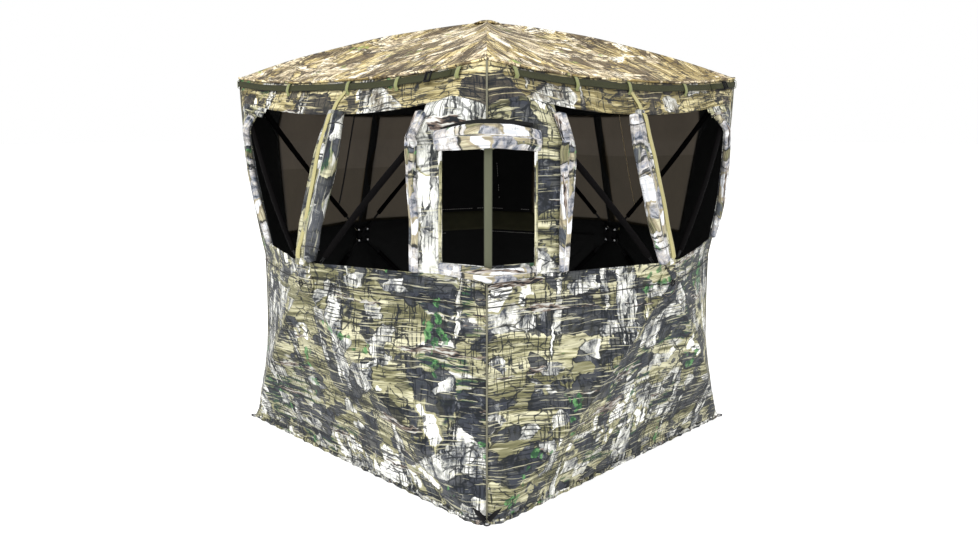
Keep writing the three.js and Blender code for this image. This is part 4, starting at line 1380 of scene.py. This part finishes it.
def around_corner(distance, z):
    """A place on the cloth beside the near corner, this far round it from the column."""
    share = abs(distance)
    column = wall_point(1, clamp(s_of(z)))
    x = min(HALF_SIDE - share, column.x)
    t, s = find_place(x, z)
    p = wall_point(t, s) if share > 0 else column
    return Vector((x, p.y, z)) if distance < 0 else Vector((-p.y, -x, z))


def corner_flap(name, centre_z, arch, tilt, reach, half_high, half_deep, seed, cad, material,
                stand=0.006, shape=None):
    rounding = 0.07
    spine, outs = [], []
    for d in stations(-reach, reach + 0.008, 52):
        turn = clamp(d / rounding)
        angle = math.pi / 4 * (1 + turn)
        out = Vector((math.sin(angle), -math.cos(angle), 0))
        u = clamp(d / reach)
        z = centre_z + arch * (1 - abs(u) ** 1.6) + tilt * u
        spine.append(around_corner(d, z) + out * (half_deep(0.5 + u / 2) + stand))
        outs.append(out)
    flap = oval_tube(name, spine, outs, half_high, half_deep, material, 26,
                     shape or roll_shape(seed, 0.07), 0.25)
    return fixed(flap, "root", cad)


corner_flap("corner_window_flap_top", 1.300, 0.016, 0.0, 0.154, swell(0.033, 0.040),
            swell(0.014, 0.023, 0.7), 8, ["corner_window_roll_top"], CAMO_ROLL)
# a black roll just above the top flap: partly the cover's black inner cloth, partly painted shadow in
# the gap over the flap
corner_flap("corner_window_flap_top_lining_and_shadow", 1.345, 0.013, 0.006, 0.134, swell(0.006, 0.011),
            swell(0.006, 0.016), 9, (), INNER, 0.003)
corner_flap("corner_window_flap_bottom", 0.874, -0.006, -0.007, 0.186, swell(0.019, 0.024),
            swell(0.012, 0.019, 0.7), 10, ["corner_window_roll_bottom"], CAMO_ROLL)

# the strap down the corner window, tucked behind both flaps
stand = [(0.835, 0.004), (0.87, 0.005), (0.90, 0.010), (1.10, 0.014), (1.27, 0.010),
         (1.30, 0.005), (1.35, 0.004)]
rows = []
for z in stations(0.835, 1.350, 40):
    column = wall_point(1, s_of(z))
    at = Vector((column.x, -column.x, z)) + NEAR_OUT * along(stand, z) + NEAR_ACROSS * 0.004
    rows.append((at, NEAR_ACROSS, None, NEAR_OUT))
strap = ribbon("corner_window_tie_strap", rows, 0.0265, 0.0016, STRAP_GREY, 6)
fixed(strap, "root", ["corner_window_strap"])

# hems down both sides of the corner window
for side, sign in ((FRONT, 1), (RIGHT, -1)):
    rows = [wall_frame(side, sign * (along(WINDOW_EDGE[side], z) - 0.005), z, 0.0022)
            for z in stations(0.88, 1.275, 30)]
    split_wall(tube_on(f"{SIDES[side]}_corner_window_hem", rows, 0.0062, 0.0028, CAMO_STRIP, 12,
                       None, 0.3), side)


# ================================================================ seams and hems
def column_place(corner, z, stand):
    """A place on a corner's column; corner 0 is front right, and they go round from there."""
    column = wall_point(1, clamp(s_of(z)))
    flare = FLARE * max(0.0, 1 - z / 0.078) ** 2
    p = Vector((column.x, column.y, z)) + NEAR_OUT * (stand + flare)
    return turned(soften(p, FRONT) if corner == 0 else p, corner)


for corner, name in enumerate(CORNERS):
    out = turned(NEAR_OUT, corner)
    spans = [(0.004, 0.836), (1.352, 1.546)] if corner == 0 else [(0.004, 1.546)]
    seams = []
    for low, high in spans:
        line = [column_place(corner, z, 0.0012) for z in stations(low, high, 40)]
        seams.append(oval_tube("seam", line, [out] * 41, 0.0032, 0.0026, SEAM_TAPE, 8))
    fixed(join(f"{name}_corner_seam", seams), "root")

for side in range(4):
    # the eave's piped edge, and the gathered hem on the ground
    rows = [wall_point(t, 1, 0.004) for t in stations(-1, 1, 60)]
    edge = [turned(p + Vector((0, 0, 0.001)), side) for p in rows]
    piping = oval_tube(f"{SIDES[side]}_eave_piping", edge, [WALL_OUT[side]] * 61, 0.0048, 0.0040,
                       CAMO_ROOF_LIT, 10)
    fixed(piping, "root")
    hem = []
    for t in stations(-0.998, 0.998, 120):
        lift = 0.010 + 0.0034 * (math.sin(t * HALF_SIDE * 88 + side)
                                 + 0.6 * math.sin(t * HALF_SIDE * 161 + side))
        p = wall_point(t, -0.988, lift - 0.001)
        hem.append(turned(soften(p, side), side))
    fold = oval_tube(f"{SIDES[side]}_ground_hem", hem, [WALL_OUT[side]] * 121, 0.0085, 0.0040,
                     CAMO_WALL, 10, roll_shape(side + 20, 0.12))
    fixed(fold, "root")

# stake loops at the foot of each corner
for corner, name in enumerate(CORNERS):
    out = turned(NEAR_OUT, corner)
    across = turned(NEAR_ACROSS, corner)
    foot = column_place(corner, 0.012, 0.0)
    loop = [foot + across * (0.011 * math.cos(k)) + out * (0.010 + 0.016 * math.sin(k))
            + Vector((0, 0, -0.006 + 0.002 * math.sin(k)))
            for k in stations(-0.15 * math.pi, 1.15 * math.pi, 14)]
    fixed(cord_tube(f"{name}_stake_loop", loop, 0.0028, BLACK_TAPE, 8), "root")


# ================================================================ the cord round the blind
PATCH_REACH = 0.056            # the cord rides over the hub patch, this far to each side


def cord_line(side):
    """The cord's way along one wall, a little lower at the corners than over the hub."""
    line = []
    for t in stations(-1, 1, 72):
        u, s = clamp(t, -0.9999, 0.9999), s_of(0.776 - 0.025 * abs(t) ** 1.2)
        p = wall_point(u, s, 0.0045 + cloth_lift(u, s, side))
        if abs(p.x) < PATCH_REACH:
            over = 0.0118 - 0.0060 * (abs(p.x) / PATCH_REACH) ** 2
            p.y = min(p.y, -(HALF_SIDE + WALL_BULGE + over))
        line.append(turned(p, side))
    return line


for side in range(4):
    span = cord_tube(f"{SIDES[side]}_hub_cord", cord_line(side), 0.0021, CORD, 8, 0.2)
    split_wall(span, side, ["hub_cord"])


# ================================================================ the back door
door_cells = [c for c in sector_faces("right") if not in_opening(c, BACK)]


def door_cloth(name, outer, inner, material, low_inner=None):
    obj = cloth_mesh(name, door_cells, place_on_wall(BACK), wall_uv(BACK), material)
    towards(obj, WALL_OUT[BACK])
    cut_outline(obj, BACK, door_outline(outer), True)
    if inner is not None:
        cut_outline(obj, BACK, door_outline(inner, low_inner), False)
    area = flat_area(obj)
    return thicken(obj, CLOTH, 1), area


leaf, area = door_cloth("entry_door_leaf", 0.0, None, [CAMO_WALL, INNER])
fixed(leaf, "door", ["entry_door"])
cut_from(leaf, (0.53, 0.60), area)
# the flap behind the tape is wide at its low corner, where the wall leaves the tape when the hub
# is pulled, and short of the blind's corner, which it would pass
flap = cloth_mesh("door_storm_flap", door_cells + sector_faces("bottom"),
                  lambda t, s: turned(wall_point(t, s, -0.0042), BACK), wall_uv(BACK), INNER)
towards(flap, WALL_OUT[BACK])
(_, flap_foot), _, (flap_far, _), (_, flap_heel) = door_outline(DOOR["tape"] + 0.016)
flap_near = DOOR["hinge"] + DOOR["tape"] + 0.002
flap_top = DOOR["high"] + DOOR["tape"] + DOOR["hole"] + 0.001
cut_outline(flap, BACK, [(flap_near, flap_foot - 0.110), (flap_near, flap_top),
                         (flap_far, flap_top), (flap_far, flap_heel)], True)
cut_outline(flap, BACK, door_outline(-0.016), False)
fixed(thicken(flap, 0.0008), "door_surround")
surround, area = door_cloth("door_surround_tape", DOOR["tape"], DOOR["gap"], [ZIP, INNER],
                            DOOR["low_gap"])
fixed(surround, "door_surround", ["door_zip_surround"])

zip_path = []
corners = door_outline(0.0065, 0.010)[1:] + [door_outline(0.0065, 0.010)[0]]
for (x0, z0), (x1, z1) in zip(corners, corners[1:]):
    zip_path += [(x0 + (x1 - x0) * k / 40, z0 + (z1 - z0) * k / 40) for k in range(40)]
coil = tube_on("door_zip_coil", [wall_frame(BACK, x, z, 0.0012) for x, z in zip_path], 0.0032,
               0.0018, HUB, 8, lambda angle, share, run: 1 + 0.18 * math.sin(run * 1900))
fixed(coil, "door_surround")
at, across, up, out = wall_frame(BACK, 0.60, DOOR["high"] + 0.006, 0.0030)
slider = [cord_tube("slider", [at - across * 0.007, at, at + across * 0.007], 0.0042, HUB, 10),
          ribbon("puller", [(at + out * stand - up * fall, across, up, out) for stand, fall in
                            ((0.004, 0), (0.005, 0.015), (0.003, 0.032))], 0.0075, 0.0014,
                 BLACK_TAPE, 2)]
fixed(join("door_zip_slider", slider), "door_surround")

def stitch(side, x, z, run, rise, radius):
    """One stitch of an inner seam, 8 mm long across or up the wall."""
    path = [wall_frame(side, x + run * d, z + rise * d, -0.0072)[0] for d in (0, 0.004, 0.008)]
    return cord_tube("dash", path, radius, THREAD, 6)


# inside: a zip's pull cord on each mesh panel, and the seam tape and stitches at the far corner
for side, sign, material, radius in ((LEFT, 1, BLACK_TAPE, 0.0036), (BACK, -1, TIE, 0.0026)):
    line = [wall_frame(side, sign * (0.140 + 0.010 * (VALANCE_Z - z) / 0.4), z, -0.0095)[0]
            for z in stations(0.93, VALANCE_Z + 0.01, 24)]
    cord = cord_tube(f"{SIDES[side]}_zip_pull_cord", line, radius, material, 8)
    split_wall(cord, side, ())
for side, sign in ((BACK, 1), (LEFT, -1)):
    rows = [wall_frame(side, sign * x, 0.815, -0.0055) for x in stations(0.42, 0.735, 20)]
    split_wall(ribbon(f"{SIDES[side]}_inner_seam_tape", rows, 0.105, 0.0010, OLIVE_DIM, 6, 2),
               side)
    dashes = []
    for z, cover in ((0.882, -0.35), (0.752, 0.05)):
        for k in range(24):
            x = sign * (0.44 + 0.0125 * k)
            if wobble(x, z, 41, 9) > cover:
                dashes.append(stitch(side, x, z, sign, 0, 0.0014))
    if side == BACK:
        for k in range(16):
            z = 0.94 + 0.0135 * k
            if wobble(z * 2, z, 43, 9) > -0.1:
                dashes.append(stitch(side, 0.655 + 0.16 * (z - 0.94), z, 0, 1, 0.0010))
    split_wall(join(f"{SIDES[side]}_inner_seam_stitches", dashes), side, ())

# ================================================================ camera, floor and light
scene = bpy.context.scene
CAMERA_DISTANCE, CAMERA_HEIGHT, CAMERA_PITCH = 3.63, 1.35, math.radians(10.5)
CAMERA_LENS = 29.8            # mm, on a sensor 36 mm wide
CAMERA_SHIFT = 0.0022         # puts the blind at the photo's place across
FLOOR_REACH = 60              # half the width of the floor, metres
FLOOR_DROP = 0.001            # keeps the floor just under the ground hem
diagonal = math.sqrt(0.5)
camera_data = bpy.data.cameras.new("camera")
camera_data.sensor_width = 36
camera_data.lens = CAMERA_LENS
camera = bpy.data.objects.new("camera", camera_data)
camera.location = (CAMERA_DISTANCE * diagonal, -CAMERA_DISTANCE * diagonal, CAMERA_HEIGHT)
look = Vector((-diagonal * math.cos(CAMERA_PITCH), diagonal * math.cos(CAMERA_PITCH),
               -math.sin(CAMERA_PITCH)))
camera.rotation_mode = "QUATERNION"
camera.rotation_quaternion = look.to_track_quat("-Z", "Y")
camera_data.shift_x = CAMERA_SHIFT
scene.collection.objects.link(camera)
scene.camera = camera

floor_mesh = bpy.data.meshes.new("floor")
floor_mesh.from_pydata([(x * FLOOR_REACH, y * FLOOR_REACH, -FLOOR_DROP)
                        for x, y in ((-1, -1), (1, -1), (1, 1), (-1, 1))], [], [(0, 1, 2, 3)])
floor = bpy.data.objects.new("floor", floor_mesh)
scene.collection.objects.link(floor)
floor_paint = Graph("floor_paint")
floor_paint.surface((0.9, 0.9, 0.9), 0.9, None, Specular_IOR_Level=0.1,
                    Emission_Color=(1, 1, 1, 1), Emission_Strength=0.45)
floor_mesh.materials.append(floor_paint.material)
floor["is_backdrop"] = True

world = bpy.data.worlds.new("studio")
world.use_nodes = True
world.node_tree.nodes["Background"].inputs[0].default_value = (1.0, 1.0, 1.0, 1)
world.node_tree.nodes["Background"].inputs[1].default_value = 1.0
scene.world = world
scene.view_settings.view_transform = "Standard"


def area_light(name, place, aim, size, power):
    data = bpy.data.lights.new(name, "AREA")
    data.size = size
    data.energy = power
    light = bpy.data.objects.new(name, data)
    light.location = place
    light.rotation_mode = "QUATERNION"
    light.rotation_quaternion = (Vector(aim) - Vector(place)).to_track_quat("-Z", "Y")
    scene.collection.objects.link(light)


area_light("key", (1.5, -4.5, 4.8), (0, 0, 0.9), 2.5, 230)
area_light("fill", (4.8, -1.2, 3.4), (0, 0, 0.9), 3.0, 80)

low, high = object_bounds()
{"cad": [list(cad_low), list(cad_high)], "visual": [list(low), list(high)]}
